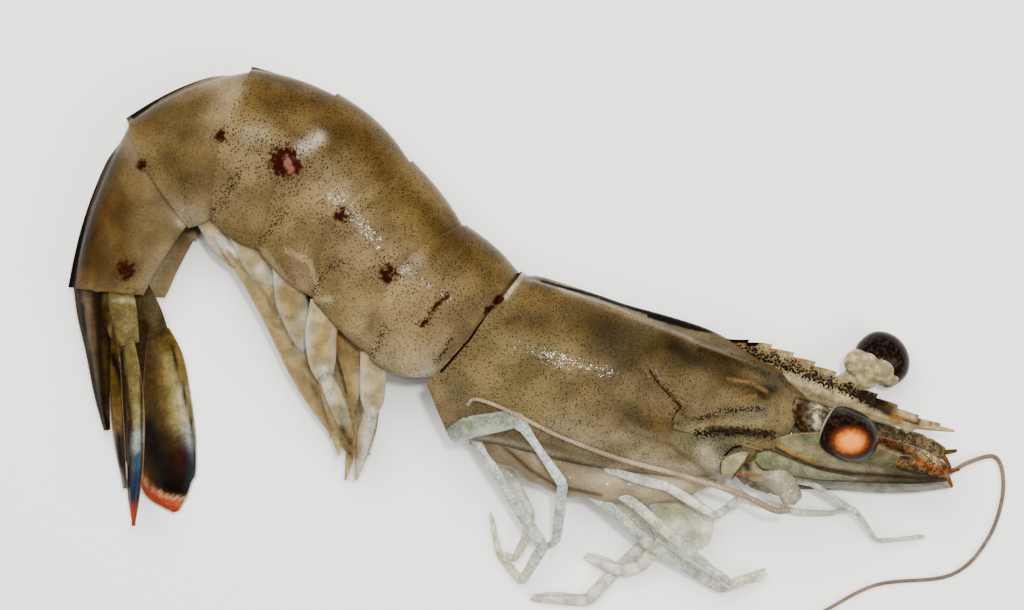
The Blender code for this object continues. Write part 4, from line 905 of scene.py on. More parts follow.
# The last somites have weaker dots than the others.
DOT_SHARES = {5: 0.6, 6: 0.35}
# The keel along the back of the last somites, as (rise, place where it begins, place where it is full)
BACK_KEELS = {4: (0.25, 0.6, 1.0), 5: (0.45, 0.1, 0.4), 6: (0.5, 0.1, 0.3)}
SHELL_LINES = [
    (1.0, 0.5, [(-31.8, 28.6), (-29.0, 28.4), (-26.4, 27.4)]),
    (1.1, 0.6, [(-45.4, 22.6), (-42.2, 25.0), (-36.8, 27.8)]),
    (1.2, 0.8, [(-49.0, 18.4), (-51.1, 12.0), (-52.3, 6.0), (-52.8, 2.2)]),
]


def somite_marks(number, x, y, u, high, place_round):
    """Painted values of a somite, read at the places (x, y) that the eye above sees."""
    stains = [(1.7 if size > 2.5 else 1.35, size * 1.1, [hinge]) for hinge, size in HINGES] + SIDE_STAINS
    halos = [(0.7, size * 1.7, line) for _, size, line in stains]
    marks = {
        "bars": lines_at(x, y, SIDE_BARS + halos),
        "stain": lines_at(x, y, stains),
        "dots": DOT_SHARES.get(number, 1.0) * ramp(u, 0.0, 0.12) * (0.7 + 0.3 * ramp(high, -0.9, 0.2)),
        "line": lines_at(x, y, SHELL_LINES),
        "bruise": lines_at(x, y, SIDE_BRUISES),
    }
    if number >= 5:
        marks["line"] += 1.2 * falloff(place_round, 0.02) * ramp(u, 0.12, 0.2)
    return marks


def make_somite(number, material, ground, wall):
    """One somite: an arched plate with hanging pleura, tucked in front under the plate before it."""
    front, rear = number - 1, number
    outer_u = np.linspace(-TUCK if number > 1 else -FIRST_TUCK, 1.0, 72)
    # Rings inside the rear edge, as (place along the plate, distance in from the outer skin)
    rims = np.array([(1.003, 0.07), (0.99, wall * 0.6), (0.93, wall), (0.88, wall + 1.5)])
    places = np.linspace(-1, 1, 200, endpoint=False)
    u, q = np.meshgrid(np.concatenate([outer_u, rims[:, 0]]), places, indexing="ij")
    inset = 0.12 * ramp(u, 0.35, 0.0) + 0.34 * ramp(u, 0.0, -0.08)
    inset[len(outer_u):] += rims[:, 1:]
    wide, level = somite_section(q)
    joint_width = JOINTS[front][3] + (JOINTS[rear][3] - JOINTS[front][3]) * u
    arch = np.sin(math.pi * np.clip(u, 0, 1))
    step = SOMITE_STEP * (np.clip(u, 0, 1) - 0.35)
    half = joint_width + step - inset
    one = np.ones(1)
    before = max(front - 1, 0)

    def along_plate(at):
        """Places between the joints at a height, which run on under the plate before this one."""
        start, end, last = (joint_spot(index, at) for index in (front, rear, before))
        onward = start - last if number > 1 else end - start
        return start + (end - start) * np.maximum(u, 0)[..., None] + onward * np.minimum(u, 0)[..., None]

    spots, back, belly = along_plate(level), along_plate(one), along_plate(-one)
    up = back - belly
    up /= np.linalg.norm(up, axis=-1, keepdims=True)
    rise = DORSAL_BULGE[front] * arch * np.maximum(level, 0) + (step - inset) * level
    rise -= PLEURON_DROP[front] * arch * np.maximum(-level, 0)
    roll = JOINT_ROLL[front] + (JOINT_ROLL[rear] - JOINT_ROLL[front]) * u
    rise -= roll * np.maximum(-wide, 0) * (1 - level) / 2
    if number in BACK_KEELS:
        keel, begins, full = BACK_KEELS[number]
        rise += keel * ramp(u, begins, full) * falloff(q, 0.045)
    spots = spots + up * rise[..., None]
    x, y = spots[..., 0], spots[..., 1]
    rings = place(x, y, half * (1 + wide) - PRESSED_FLAT)
    relief = np.zeros_like(u)
    for hinge, _ in HINGES:
        for high, width in (HINGE_BOSS, HINGE_PIT):
            relief += high * stroke(x, y, [hinge], width)
    high, at, width = PLEURON_GROOVE
    relief += high * falloff(np.abs(q) - at, width) * ramp(u, 0.1, 0.3) * ramp(u, 0.95, 0.8)
    if number == 6:
        high, at, width = SIDE_RIDGE
        relief += high * falloff(np.abs(q) - at, width) * ramp(u, 0.15, 0.35)
    rings += normals_of(rings) * relief[..., None]
    shape = Shape(ground, ABDOMEN_MARKS)
    shape.loft(rings, somite_marks(number, x, y, u, level, q))
    return shape.make(f"somite_{number}", material)


# Underside and head

LEG_SPACING = 4.6
CHEST_MARKS = [
    ("#77684c", 0.8, 3.0, [(-3.8, -16.8), (2.2, -19.2), (10.6, -21.0)]),
    ("#a3967c", 0.8, 2.4, [(9.4, -19.6), (20.2, -21.7)]),
    ("#3a2816", 0.9, 0.5, [(-1.4, -16.6), (2.2, -19.8), (5.3, -21.7), (10.6, -22.8)]),
    ("#8e8064", 0.8, 1.0, [(5.8, -18.8), (13.0, -20.8), (21.4, -22.0)]),
]


def make_underside(material, ground):
    """The chest between the legs, with a low swelling at each leg's root."""
    table = np.array(THORAX_STATIONS)
    s, angle = np.meshgrid(np.linspace(1.0, 30.5, 90), np.linspace(-math.pi, math.pi, 60, endpoint=False),
                           indexing="ij")
    t, side = body_section(THORAX_STATIONS, s, angle, 2.0 * ramp(s, 26.5, 30.5))
    middle = (table[:, 1].mean() + table[:, 2].mean()) / 2
    swell = 0.5 + 0.5 * np.cos(2 * math.pi * s / LEG_SPACING)
    rings = shield_point(s, t, side)
    rings += normals_of(rings) * (0.35 * swell * ramp(t, middle - 1.5, middle + 2))[..., None]
    shape = Shape(ground, CHEST_MARKS)
    shape.loft(rings)
    return shape.make("chest", material)


HEAD_MARKS = [
    ("#524d32", 0.9, 3.4, [(34.6, -18.0), (40.6, -18.8)]), ("#716442", 0.8, 2.2, [(30.4, -18.0)]),
    ("#2b3722", 0.8, 1.6, [(34.0, -14.8), (35.2, -15.7)]),
    ("#74694a", 0.8, 1.6, [(33.4, -16.2), (37.0, -18.1)]),
    ("#6b5228", 0.9, 0.8, [(32.5, -10.3), (34.6, -10.1), (36.4, -11.2)]),
    ("#80755a", 0.8, 1.2, [(36.0, -10.4), (39.4, -12.1)]),
    ("#3a2408", 0.9, 0.6, [(32.3, -10.6), (31.8, -12.0)]),
    ("#241a08", 0.8, 0.6, [(36.7, -11.2), (38.2, -12.1)]),
]


def make_head(material, ground):
    """The front of the head under the rostrum, with low folds across it."""
    s, angle = np.meshgrid(np.linspace(33.5, 43.5, 50), np.linspace(-math.pi, math.pi, 60, endpoint=False),
                           indexing="ij")
    t, side = body_section(HEAD_STATIONS, s, angle)
    rings = shield_point(s, t, side)
    rings += normals_of(rings) * (0.12 * np.sin(s * 2.4) * ramp(s, 35, 37))[..., None]
    shape = Shape(ground, HEAD_MARKS)
    shape.loft(rings, {"dots": np.full_like(s, 0.5)})
    return shape.make("brow", material)


# Limbs


def limb_path(joints, bend=0.7, step=0.22):
    """Points along straight limb lengths with rounded joints, and where each joint lies along them."""
    corners = np.array([place(x, y, z) for x, y, z, _ in joints])
    points = [corners[:1]]
    for k in range(1, len(corners)):
        start = points[-1][-1]
        end = corners[k]
        if k < len(corners) - 1:
            back, ahead = corners[k - 1] - end, corners[k + 1] - end
            into = end + back / np.linalg.norm(back) * min(bend, np.linalg.norm(back) * 0.3)
            out = end + ahead / np.linalg.norm(ahead) * min(bend, np.linalg.norm(ahead) * 0.3)
        else:
            into = out = end
        count = max(int(np.linalg.norm(into - start) / step), 2)
        points.append(start + (into - start) * np.linspace(0, 1, count + 1)[1:, None])
        if k < len(corners) - 1:
            v = np.linspace(0, 1, 9)[1:, None]
            points.append((1 - v) ** 2 * into + 2 * v * (1 - v) * end + v ** 2 * out)
    path = np.concatenate(points)
    run = lengths_along(path)
    at = [run[np.argmin(np.linalg.norm(path - corner, axis=1))] for corner in corners]
    return path, run, np.array(at)


def add_tube(shape, path, wide, thick, sides, marks=None, ground=None, squareness=1.0):
    """A closed oval tube round a path."""
    _, flat, up = frames_of(path)
    turns = np.linspace(0, 2 * math.pi, sides, endpoint=False)
    beside = np.copysign(np.abs(np.cos(turns)) ** squareness, np.cos(turns))
    above = np.copysign(np.abs(np.sin(turns)) ** squareness, np.sin(turns))
    rings = path[:, None] + flat[:, None] * (beside[None, :, None] * np.reshape(wide, (-1, 1, 1)))
    rings = rings + up[:, None] * (above[None, :, None] * np.reshape(thick, (-1, 1, 1)))
    painted = {key: np.repeat(np.reshape(v, (-1, 1)), sides, axis=1) for key, v in (marks or {}).items()}
    # rim is 1 on the sides that the eye above sees edge-on, where glassy skins get a painted highlight.
    painted["rim"] = np.repeat(np.abs(beside)[None], len(path), axis=0)
    shape.loft(rings, painted, ground)
    return rings


def make_limb(name, joints, material, ground, marks=(), clawed=False, flatness=0.72, sides=18):
    """A jointed limb: flattened straight lengths with a rim at their ends and narrow skin at the joints."""
    path, run, at = limb_path(joints)
    radius = eased(at, [r for *_, r in joints], run)
    skin = np.zeros_like(run)
    rim = np.zeros_like(run)
    for joint in at[1:-1]:
        skin += falloff(run - joint, JOINT_SKIN)
        rim += falloff(run - joint + JOINT_SKIN, JOINT_RIM)
    # A limb narrows to a point, or to half its width at a claw, and a little at its root.
    last = 1 - (0.5 if clawed else 0.92) * ramp(run, run[-1] - 0.6, run[-1])
    first = 0.6 + 0.4 * ramp(run, 0, 0.5)
    wide = radius * (1.04 - 0.1 * skin + 0.05 * rim) * last * first
    shape = Shape(ground, marks)
    add_tube(shape, path, wide, wide * flatness, sides, {"skin": skin}, squareness=0.85)
    if clawed:
        add_finger(shape, joints)
    return shape.make(name, material)


def add_finger(shape, joints):
    """The movable finger of a claw, beside the fixed one, with its tip hooked in."""
    palm, tip = (place(*joints[k][:3]) for k in (-2, -1))
    run = tip - palm
    aside = np.cross(run, (0, 0, 1.0))
    aside = aside / np.linalg.norm(aside) * CLAW_OPEN
    v = np.linspace(0, 1, 26)[:, None]
    bow = 1.05 * np.sin(np.minimum(v * 2.2, math.pi / 2)) - 0.35 * v ** 4
    path = palm - run * 0.08 + run * 1.06 * v + aside * bow
    radius = FINGER_RADIUS * (1 - 0.62 * v[:, 0]) * (1 - 0.7 * ramp(v[:, 0], 0.9, 1.0))
    # Fine steps like teeth run along the finger.
    radius = radius * (1 + 0.12 * (np.sin(v[:, 0] * 44) > 0.2))
    add_tube(shape, path, radius, radius * 0.8, 12)


def blade_rings(stations, turn, sides=28, rows=70, rib=0.35, edge=0.3):
    """Rings of a thin blade with a raised middle rib, each point's place along and across it, and its side.

    stations are (x, y, height, width, thickness), rib is the rise of the middle rib and edge the thickness
    of the edges, both as shares of the blade's thickness.
    """
    table = np.array(stations)
    path = place(table[:, 0], table[:, 1], table[:, 2])
    run_at = lengths_along(path)
    at = np.linspace(0, 1, rows) * run_at[-1]
    points = eased(run_at, path, at)
    width = np.maximum(eased(run_at, table[:, 3], at), 0.2)
    thick = eased(run_at, table[:, 4], at)
    _, flat, up = frames_of(points)
    turned = math.radians(turn)
    wide = flat * math.cos(turned) - up * math.sin(turned)
    run = np.cross(up, flat)
    over = np.cross(run, wide)
    angles = np.linspace(0, 2 * math.pi, sides, endpoint=False)
    across, lens = np.cos(angles), np.sin(angles)
    body = np.copysign(np.abs(lens) ** 0.8, lens) * (edge + (1 - edge) * (1 - across ** 2))
    body = body + np.sign(lens) * rib * np.exp(-((across / 0.09) ** 2))
    rings = points[:, None] + wide[:, None] * (across[None, :] * width[:, None] / 2)[..., None]
    rings = rings + over[:, None] * (body[None, :] * thick[:, None] / 2)[..., None]
    along = np.repeat(np.linspace(0, 1, rows)[:, None], sides, axis=1)
    return rings, along, np.repeat(across[None, :], rows, axis=0), wide


def make_blade(name, stations, turn, material, ground, marks=(), **profile):
    """A thin blade as one object."""
    rings, along, across, _ = blade_rings(stations, turn, **profile)
    shape = Shape(ground, marks)
    shape.loft(rings, {"along": along, "across": across})
    return shape.make(name, material)


def edged(rings, across, ground, marks, colour, strength):
    """Colours of a blade with darker edges."""
    tint = laid_on(*seen_at(rings), ground, marks)
    share = strength * ramp(np.abs(across), 0.7, 0.92)
    return tint + (np.array(hex_colour(colour)[:3]) - tint) * share[..., None]


def make_swimmeret(name, joints, material, ground, marks, arms, fringes):
    """A swimmeret: a plump root and leaf-shaped arms with dark edges, whose bristles go to fringes."""
    shape = Shape(ground, marks)
    path, run, at = limb_path(joints[:4], 0.9)
    radius = eased(at, [r for *_, r in joints[:4]], run)
    close = 1 - 0.8 * ramp(run, at[2] - 1.6, run[-1])
    add_tube(shape, path, radius * close, np.maximum(radius * 0.5, 0.3) * close, 32)
    for shift, lift, share in arms:
        stations = []
        for k, (x, y, z, r) in enumerate(joints[2:]):
            width = r * 2 * share * ARM_WIDTHS[k]
            stations.append((x + shift * k, y, max(z + lift, 0.3), width, max(r * 0.42 * share, 0.3)))
        rings, _, across, wide = blade_rings(stations, 0, sides=24, rows=60, rib=0.5, edge=0.2)
        fringes.append(edge_roots(rings, wide, (1, -1), *SWIMMERET_FRINGE))
        shape.loft(rings, {"tint": edged(rings, across, ground, marks, SWIMMERET_EDGE, 0.8)})
    return shape.make(name, material)


# Eyes and antennae


# An eye's outline from its stalk to its front, as (distance along the axis, radius), shares of its radius
EYE_PROFILE = [
    (-0.86, 0.3), (-0.84, 0.55), (-0.8, 0.72), (-0.74, 0.82), (-0.7, 0.86), (-0.62, 0.93), (-0.4, 1.0),
    (0.0, 1.03), (0.35, 0.97), (0.65, 0.79), (0.87, 0.54), (0.99, 0.26), (1.02, 0.06),
]


def make_eye(side, material):
    """A wide dark dome, flat where a thin glassy collar joins it to its stalk."""
    x, y, z, radius = EYES[side]
    centre = place(x, y, z)
    root = place(*STALKS[side][-2][:3])
    axis = centre - root
    axis = axis / np.linalg.norm(axis)
    sidewise = np.cross(axis, (0, 0, 1.0))
    sidewise /= np.linalg.norm(sidewise)
    over = np.cross(sidewise, axis)
    profile = np.array(EYE_PROFILE)
    v = np.linspace(0, 1, 70)
    ahead, wide = (eased(np.linspace(0, 1, len(profile)), profile[:, k], v) * radius for k in (0, 1))
    turns = np.linspace(0, 2 * math.pi, 80, endpoint=False)
    long, slim = EYE_SHAPE[side]
    ring = sidewise * slim * np.cos(turns)[:, None] + over * np.sin(turns)[:, None]
    rings = centre + axis * long * ahead[:, None, None] + ring[None] * wide[:, None, None]
    shape = Shape(ground_of("eyeball"))
    collar = np.repeat(ramp(ahead / radius, -0.7, -0.76)[:, None], len(turns), axis=1)
    shape.loft(rings, {"collar": collar})
    return shape.make(f"eyeball_{side}", material)


def add_cluster(shape, lobes, ground):
    """Rounded lobes that run together into one skin, seen from their middle."""
    spots = np.array([place(x, y, z) for x, y, z, _ in lobes])
    middle = spots.mean(axis=0)
    v = np.linspace(0.03, math.pi - 0.03, 70)[:, None]
    turns = np.linspace(0, 2 * math.pi, 90, endpoint=False)
    ways = np.stack([np.sin(v) * np.cos(turns), np.sin(v) * np.sin(turns), np.cos(v) + 0 * turns], axis=-1)
    toward = ways @ (spots - middle).T
    inside = np.array([r for *_, r in lobes]) ** 2 - np.sum((spots - middle) ** 2, axis=1) + toward ** 2
    reach = np.where(inside > 0, toward + np.sqrt(np.maximum(inside, 0)), 0.2)
    far = np.log(np.exp(reach * LOBE_BLEND).sum(axis=-1)) / LOBE_BLEND
    shape.loft(middle + ways * far[..., None], ground=ground)


# Surfaces


def add_node(tree, kind, inputs, out=0):
    """Adds a node, gives its settings and sockets their values or links, and returns one of its outputs."""
    made = tree.nodes.new(kind)
    for key, value in inputs.items():
        if isinstance(value, bpy.types.NodeSocket):
            tree.links.new(value, made.inputs[key])
        elif isinstance(key, str) and hasattr(made, key):
            setattr(made, key, value)
        else:
            made.inputs[key].default_value = value
    return made.outputs[out]


def new_surface(name, settings):
    """A material with a Principled surface that has the given settings, its node tree and that surface."""
    material = bpy.data.materials.new(name)
    material.use_nodes = True
    tree = material.node_tree
    surface = tree.nodes["Principled BSDF"]
    for key, value in settings.items():
        surface.inputs[key].default_value = value
    return material, tree, surface


SMOOTH = {"interpolation_type": "SMOOTHSTEP"}
# The film of water on the skin, and the share of its shine that is left on dark lines and blotches
WET_FILM = {"Specular IOR Level": 0.02, "Coat Weight": 0.15}
DULL_SHARE = 0.2
# Sizes in millimetres: grain of the colour, ripples, swells, ragged edges, thickness of the water
NOISE_SIZES = {"grain": 0.3, "ripple": 0.45, "swell": 2.4, "ragged": 0.6, "film": 1.6}
# A coarse and a fine net of dots, as (share of the dot spacing, smallest radius, its spread, strength). The
# surface cuts through balls in a solid net, which has to be closer than the dots by about this share.
DOT_NETS = ((0.72, 0.2, 0.12, 1.0), (0.48, 0.14, 0.12, 0.55))
SKINS = {
    # Thick plates: little light goes in, so the tan pigment and its dark dots look solid under the water.
    "wet chitin, carapace": {"dots": 0.9, "flesh": 0.08},
    "wet chitin, rostrum": {"dots": 1.0, "cloud_size": 1.2, "flesh": 0.08},
    "wet chitin, abdomen": {"dots": 0.95, "flesh": 0.08},
    "wet chitin, head front": {"dots": 0.6},
    "thin wet chitin, antenna base": {"cloud_size": 1.2, "flesh": 0.08},
    # Soft skin without dots, where light goes in and comes back milky
    "soft clear chitin, underside": {"clear": 0.15, "flesh": 0.4},
    # Thin tubes and leaves: a little glassy, with a pale rim of painted highlight, darker skin at the joints
    # and grainy pigment
    "thin wet chitin, near legs": {"cloud_size": 1.3, "clear": 0.12, "flesh": 0.45, "speckle": 0.3},
    "thin wet chitin, far legs": {"cloud_size": 2.0, "clear": 0.4, "flesh": 0.3, "speckle": 0.2},
    "thin wet chitin, swimmerets": {"cloud_size": 1.4, "clear": 0.25, "flesh": 0.4},
    "thin wet chitin, antennal scale": {"dots": 0.9, "cloud_size": 1.6},
    # Dense pigment on ribbed blades: dark, with fine lengthwise streaks of painted shade and light on the
    # ribs
    "pigmented wet chitin, tail fan": {"cloud_size": 1.2, "ribs": 0.2, "speckle": 0.16},
    # Strongly clouded skins: blotched dark and pale within a millimetre
    "mottled wet chitin, eye stalks": {"dots": 0.5, "cloud_size": 0.6, "cloud_depth": 0.6},
    "glassy wet chitin, eye stalks": {"cloud_size": 1.0, "cloud_depth": 0.4, "clear": 0.2, "flesh": 0.5},
    "mottled chitin, antennule": {"dots": 0.9, "cloud_size": 0.7, "cloud_depth": 0.5},
    # Short rings, one behind the other: a soft shine broken at each ring
    "ringed wet chitin, feelers": {"cloud_size": 3.0, "flesh": 0.3},
}


def skin_of(name):
    """One of the SKINS, as a new material."""
    return chitin(name, **SKINS[name])


def chitin(name, dots=0.0, cloud_size=4.0, cloud_depth=0.22, clear=0.0, flesh=0.2, ribs=0.0, speckle=0.12):
    """Wet chitin: a horny skin painted by its tint, with clouds, dots, blotches and lines under water.

    dots is the strength of the pigment dots, cloud_size and cloud_depth the size and contrast of the clouds,
    clear how glassy the skin is (a glassy skin also gets a painted highlight along its sides), flesh how far
    light goes in, ribs how deep the fine lengthwise ribs of a blade are and how strongly they paint shade
    and light into its colour, and speckle how strong the fine grain of the colour is.
    """
    looks = bpy.context.scene.prawn_shell
    material, tree, surface = new_surface(name, {
        **WET_FILM, "IOR": 1.4, "Coat Roughness": 0.06, "Coat IOR": 1.3, "Transmission Weight": clear,
        "Subsurface Weight": flesh, "Subsurface Radius": (1.0, 0.7, 0.4), "Subsurface Scale": 0.0014,
    })
    add = partial(add_node, tree)
    # Where the painted glow of light coming back out of each eye is centred. In the left one that is far
    # below it, so no glow shows.
    where = add("ShaderNodeTexCoord", {}, "Object")
    noise = {use: add("ShaderNodeTexNoise", {"Scale": 1 / (size * METRES), "Vector": where})
             for use, size in {"cloud": cloud_size, **NOISE_SIZES}.items()}
    keys = ["tint"] + ["dots", "bars", "stain", "bruise", "line"] * bool(dots)
    keys += ["skin", "rim"] * bool(clear) + ["across", "along"] * bool(ribs)
    painted = {key: add("ShaderNodeAttribute", {"attribute_name": key}, "Vector" if key == "tint" else "Fac")
               for key in keys}
    level = 0.93 if dots else 1.0
    shade = add("ShaderNodeMapRange", {
        **SMOOTH, 0: noise["cloud"], 1: 0.36, 2: 0.66, 3: level - cloud_depth, 4: level + cloud_depth})
    fine = add("ShaderNodeMapRange", {0: noise["grain"], 1: 0.35, 2: 0.65, 3: 1 - speckle, 4: 1 + speckle})
    shade = add("ShaderNodeMath", {"operation": "MULTIPLY", 0: shade, 1: fine})
    base = add("ShaderNodeVectorMath", {"operation": "SCALE", 0: painted["tint"], 3: shade})
    swell = add("ShaderNodeMath", {
        "operation": "MULTIPLY_ADD", 0: noise["swell"], 1: 2.0, 2: noise["ripple"]})
    layers = []
    if clear:
        share = add("ShaderNodeMath", {"operation": "MULTIPLY", 0: painted["skin"], 1: 0.4})
        layers.append((share, hex_colour("#8a7a5a")))
        # Painted highlight: the sides of a tube that the eye above sees edge-on are paled towards a light
        # grey.
        share = add("ShaderNodeMapRange", {0: painted["rim"], 1: 0.6, 3: 0.0, 4: 0.3})
        layers.append((share, hex_colour("#c9ccc0")))
    if dots:
        reach = add("ShaderNodeMath", {"operation": "MAXIMUM", 0: painted["dots"], 1: painted["bars"]})
        for closeness, smallest, spread, strength in DOT_NETS:
            cells = add("ShaderNodeTexVoronoi", {
                "Scale": 1 / (looks.dot_spacing * closeness * METRES), "Randomness": 0.9, "Vector": where})
            chance = add("ShaderNodeSeparateColor", {0: cells.node.outputs["Color"]})
            size = add("ShaderNodeMath", {"operation": "MULTIPLY_ADD", 0: chance, 1: spread, 2: smallest})
            size = add("ShaderNodeMath", {"operation": "MULTIPLY_ADD", 0: painted["bars"], 1: 0.2, 2: size})
            inside = add("ShaderNodeMath", {"operation": "SUBTRACT", 0: size, 1: cells})
            inside = add("ShaderNodeMapRange", {0: inside, 1: -0.06, 2: 0.04, 4: strength * dots})
            share = add("ShaderNodeMath", {"operation": "MULTIPLY", 0: inside, 1: reach})
            layers.append((share, looks.dot))
        broken = add("ShaderNodeMapRange", {0: noise["ragged"], 1: 0.3, 2: 0.62, 3: 0.25, 4: 1.15})
        blotches = {}
        for key, colour in (("stain", looks.stain), ("bruise", hex_colour("#683c32"))):
            share = add("ShaderNodeMath", {"operation": "MULTIPLY", 0: broken, 1: painted[key]})
            blotches[key] = add("ShaderNodeMapRange", {**SMOOTH, 0: share, 1: 0.25, 2: 0.85})
            layers.append((blotches[key], colour))
        edge = add("ShaderNodeMath", {
            "operation": "MULTIPLY_ADD", 0: noise["ragged"], 1: 0.35, 2: painted["line"]})
        edge = add("ShaderNodeMapRange", {**SMOOTH, 0: edge, 1: 0.45, 2: 0.8})
        layers.append((edge, looks.line))
        dull = add("ShaderNodeMath", {"operation": "MAXIMUM", 0: edge, 1: blotches["stain"]})
        for key, wet in WET_FILM.items():
            shine = add("ShaderNodeMapRange", {0: dull, 3: wet, 4: wet * DULL_SHARE})
            tree.links.new(shine, surface.inputs[key])
    for share, colour in layers:
        base = add("ShaderNodeMix", {"data_type": "RGBA", 0: share, 6: base, 7: colour}, 2)
    if ribs:
        across = add("ShaderNodeCombineXYZ", {0: painted["across"], 1: painted["along"]})
        wave = add("ShaderNodeTexWave", {
            "Scale": 9.0, "Distortion": 1.2, "Detail": 1.0, "Detail Scale": 0.4, "Vector": across}, "Fac")
        # The colour follows the ribs' bump: painted shade in the furrows and painted light on the crests.
        shade = add("ShaderNodeMapRange", {0: wave, 3: 1 - ribs, 4: 1 + ribs * 0.5})
        base = add("ShaderNodeVectorMath", {"operation": "SCALE", 0: base, 3: shade})
        swell = add("ShaderNodeMath", {"operation": "ADD", 0: swell, 1: wave})
    rough = add("ShaderNodeMapRange", {0: noise["film"], 1: 0.2, 2: 0.8, 3: 0.2, 4: 0.36})
    bump = add("ShaderNodeBump", {"Strength": 0.6, "Distance": 0.06 * METRES, "Height": swell})
    for key, value in (("Base Color", base), ("Roughness", rough), ("Normal", bump), ("Coat Normal", bump)):
        tree.links.new(value, surface.inputs[key])
    return material


# Facets of the cornea and its mottling, in millimetres. The facets are drawn several times coarser than in
# life, where they are too fine to render.
FACET_SIZE = 0.16
MOTTLE_SIZE = 0.5
# The painted glow fades out at 1 / 490 m across, 1 / 640 m up and down, and deeper in.
GLOW_TIGHTNESS = (490.0, 640.0, 250.0)


def cornea(side):
    """Wet cornea: near-black brown with fine facets over a glassy collar, and a painted glow where light
    returns.
    """
    material, tree, surface = new_surface(f"wet cornea, {side}", {
        "Roughness": 0.25, "Specular IOR Level": 0.02, "Coat Weight": 0.2, "Coat Roughness": 0.03,
        "Coat IOR": 1.25, "Emission Color": hex_colour("#ffa428"),
    })
    add = partial(add_node, tree)
    where = add("ShaderNodeTexCoord", {}, "Object")
    facets = add("ShaderNodeTexVoronoi", {"Scale": 1 / (FACET_SIZE * METRES), "Vector": where})
    mottle = add("ShaderNodeTexNoise", {"Scale": 1 / (MOTTLE_SIZE * METRES), "Detail": 4.0, "Vector": where})
    pale = add("ShaderNodeMapRange", {0: mottle, 1: 0.48, 2: 0.72})
    collar = add("ShaderNodeAttribute", {"attribute_name": "collar"}, "Fac")
    middle = tuple(place(*EYE_GLOW[side]) * METRES)
    away = add("ShaderNodeVectorMath", {"operation": "SUBTRACT", 0: where, 1: middle})
    away = add("ShaderNodeVectorMath", {"operation": "MULTIPLY", 0: away, 1: GLOW_TIGHTNESS})
    far = add("ShaderNodeVectorMath", {"operation": "LENGTH", 0: away}, "Value")
    far = add("ShaderNodeMath", {"operation": "MULTIPLY_ADD", 0: mottle, 1: 0.4, 2: far})
    # shine and ring are the painted glow of light coming back out of the eye: its orange middle and its dark
    # red edge.
    shine, ring = (add("ShaderNodeMapRange", {**SMOOTH, 0: far, 1: low, 2: high})
                   for low, high in ((1.3, 0.55), (1.55, 1.15)))
    base = hex_colour("#0c0604")
    for share, colour in ((pale, "#2e2014"), (collar, "#8b8878"), (ring, "#4c1c0c"), (shine, "#c26c28")):
        base = add("ShaderNodeMix", {"data_type": "RGBA", 0: share, 6: base, 7: hex_colour(colour)}, 2)
    # The painted glow's middle is also given off as emission, though the eye is no lamp.
    glow = add("ShaderNodeMath", {"operation": "MULTIPLY", 0: shine, 1: GLOW_STRENGTH})
    bump = add("ShaderNodeBump", {"Strength": 0.12, "Distance": 0.02 * METRES, "Height": facets})
    for key, value in (("Base Color", base), ("Emission Strength", glow), ("Normal", bump)):
        tree.links.new(value, surface.inputs[key])
    return material


def horn(name, colour):
    """Fine horny bristles, grown from the skin: paler and darker by turns, with a soft shine along them."""
    material, tree, surface = new_surface(name, {
        "IOR": 1.5, "Specular IOR Level": 0.3, "Subsurface Weight": 0.1, "Subsurface Scale": 0.0002})
    add = partial(add_node, tree)
    where = add("ShaderNodeTexCoord", {}, "Object")
    noise = add("ShaderNodeTexNoise", {"Scale": 1 / (0.8 * METRES), "Vector": where})
    shade = add("ShaderNodeMapRange", {0: noise, 1: 0.3, 2: 0.7, 3: 0.65, 4: 1.25})
    base = add("ShaderNodeVectorMath", {"operation": "SCALE", 0: tuple(colour)[:3], 3: shade})
    rough = add("ShaderNodeMapRange", {0: noise, 3: 0.35, 4: 0.6})
    bump = add("ShaderNodeBump", {"Strength": 0.2, "Distance": 0.01 * METRES, "Height": noise})
    for key, value in (("Base Color", base), ("Roughness", rough), ("Normal", bump)):
        tree.links.new(value, surface.inputs[key])
    return material


# Geometry Nodes


def new_node_tree(name, inputs):
    """An empty geometry tree with named inputs, and its input and output nodes."""
    tree = bpy.data.node_groups.new(name, "GeometryNodeTree")
    tree.interface.new_socket("Geometry", in_out="INPUT", socket_type="NodeSocketGeometry")
    for label, (kind, value) in inputs.items():
        socket = tree.interface.new_socket(label, in_out="INPUT", socket_type=kind)
        if value is not None:
            socket.default_value = value
    tree.interface.new_socket("Geometry", in_out="OUTPUT", socket_type="NodeSocketGeometry")
    return tree, tree.nodes.new("NodeGroupInput").outputs, tree.nodes.new("NodeGroupOutput").inputs


def baked(carrier, tree, values, name):
    """Runs a geometry tree on an object, and gives its result as a plain mesh object in place of it."""
    change = carrier.modifiers.new(tree.name, "NODES")
    change.node_group = tree
    sockets = {item.name: item.identifier for item in tree.interface.items_tree if item.in_out == "INPUT"}
    for label, value in values.items():
        change[sockets[label]] = value
    bpy.context.view_layer.update()
    mesh = bpy.data.meshes.new_from_object(carrier.evaluated_get(bpy.context.evaluated_depsgraph_get()))
    carrier.modifiers.clear()
    if not mesh.polygons:
        raise RuntimeError(f"{name}: its node tree made nothing")
    made = bpy.data.objects.new(name, mesh)
    bpy.context.scene.collection.objects.link(made)
    bpy.data.objects.remove(carrier)
    return made


def path_object(name, points):
    """A mesh line through points in millimetres."""
    mesh = bpy.data.meshes.new(name)
    mesh.from_pydata((points * METRES).tolist(), [(k, k + 1) for k in range(len(points) - 1)], [])
    made = bpy.data.objects.new(name, mesh)
    bpy.context.scene.collection.objects.link(made)
    return made


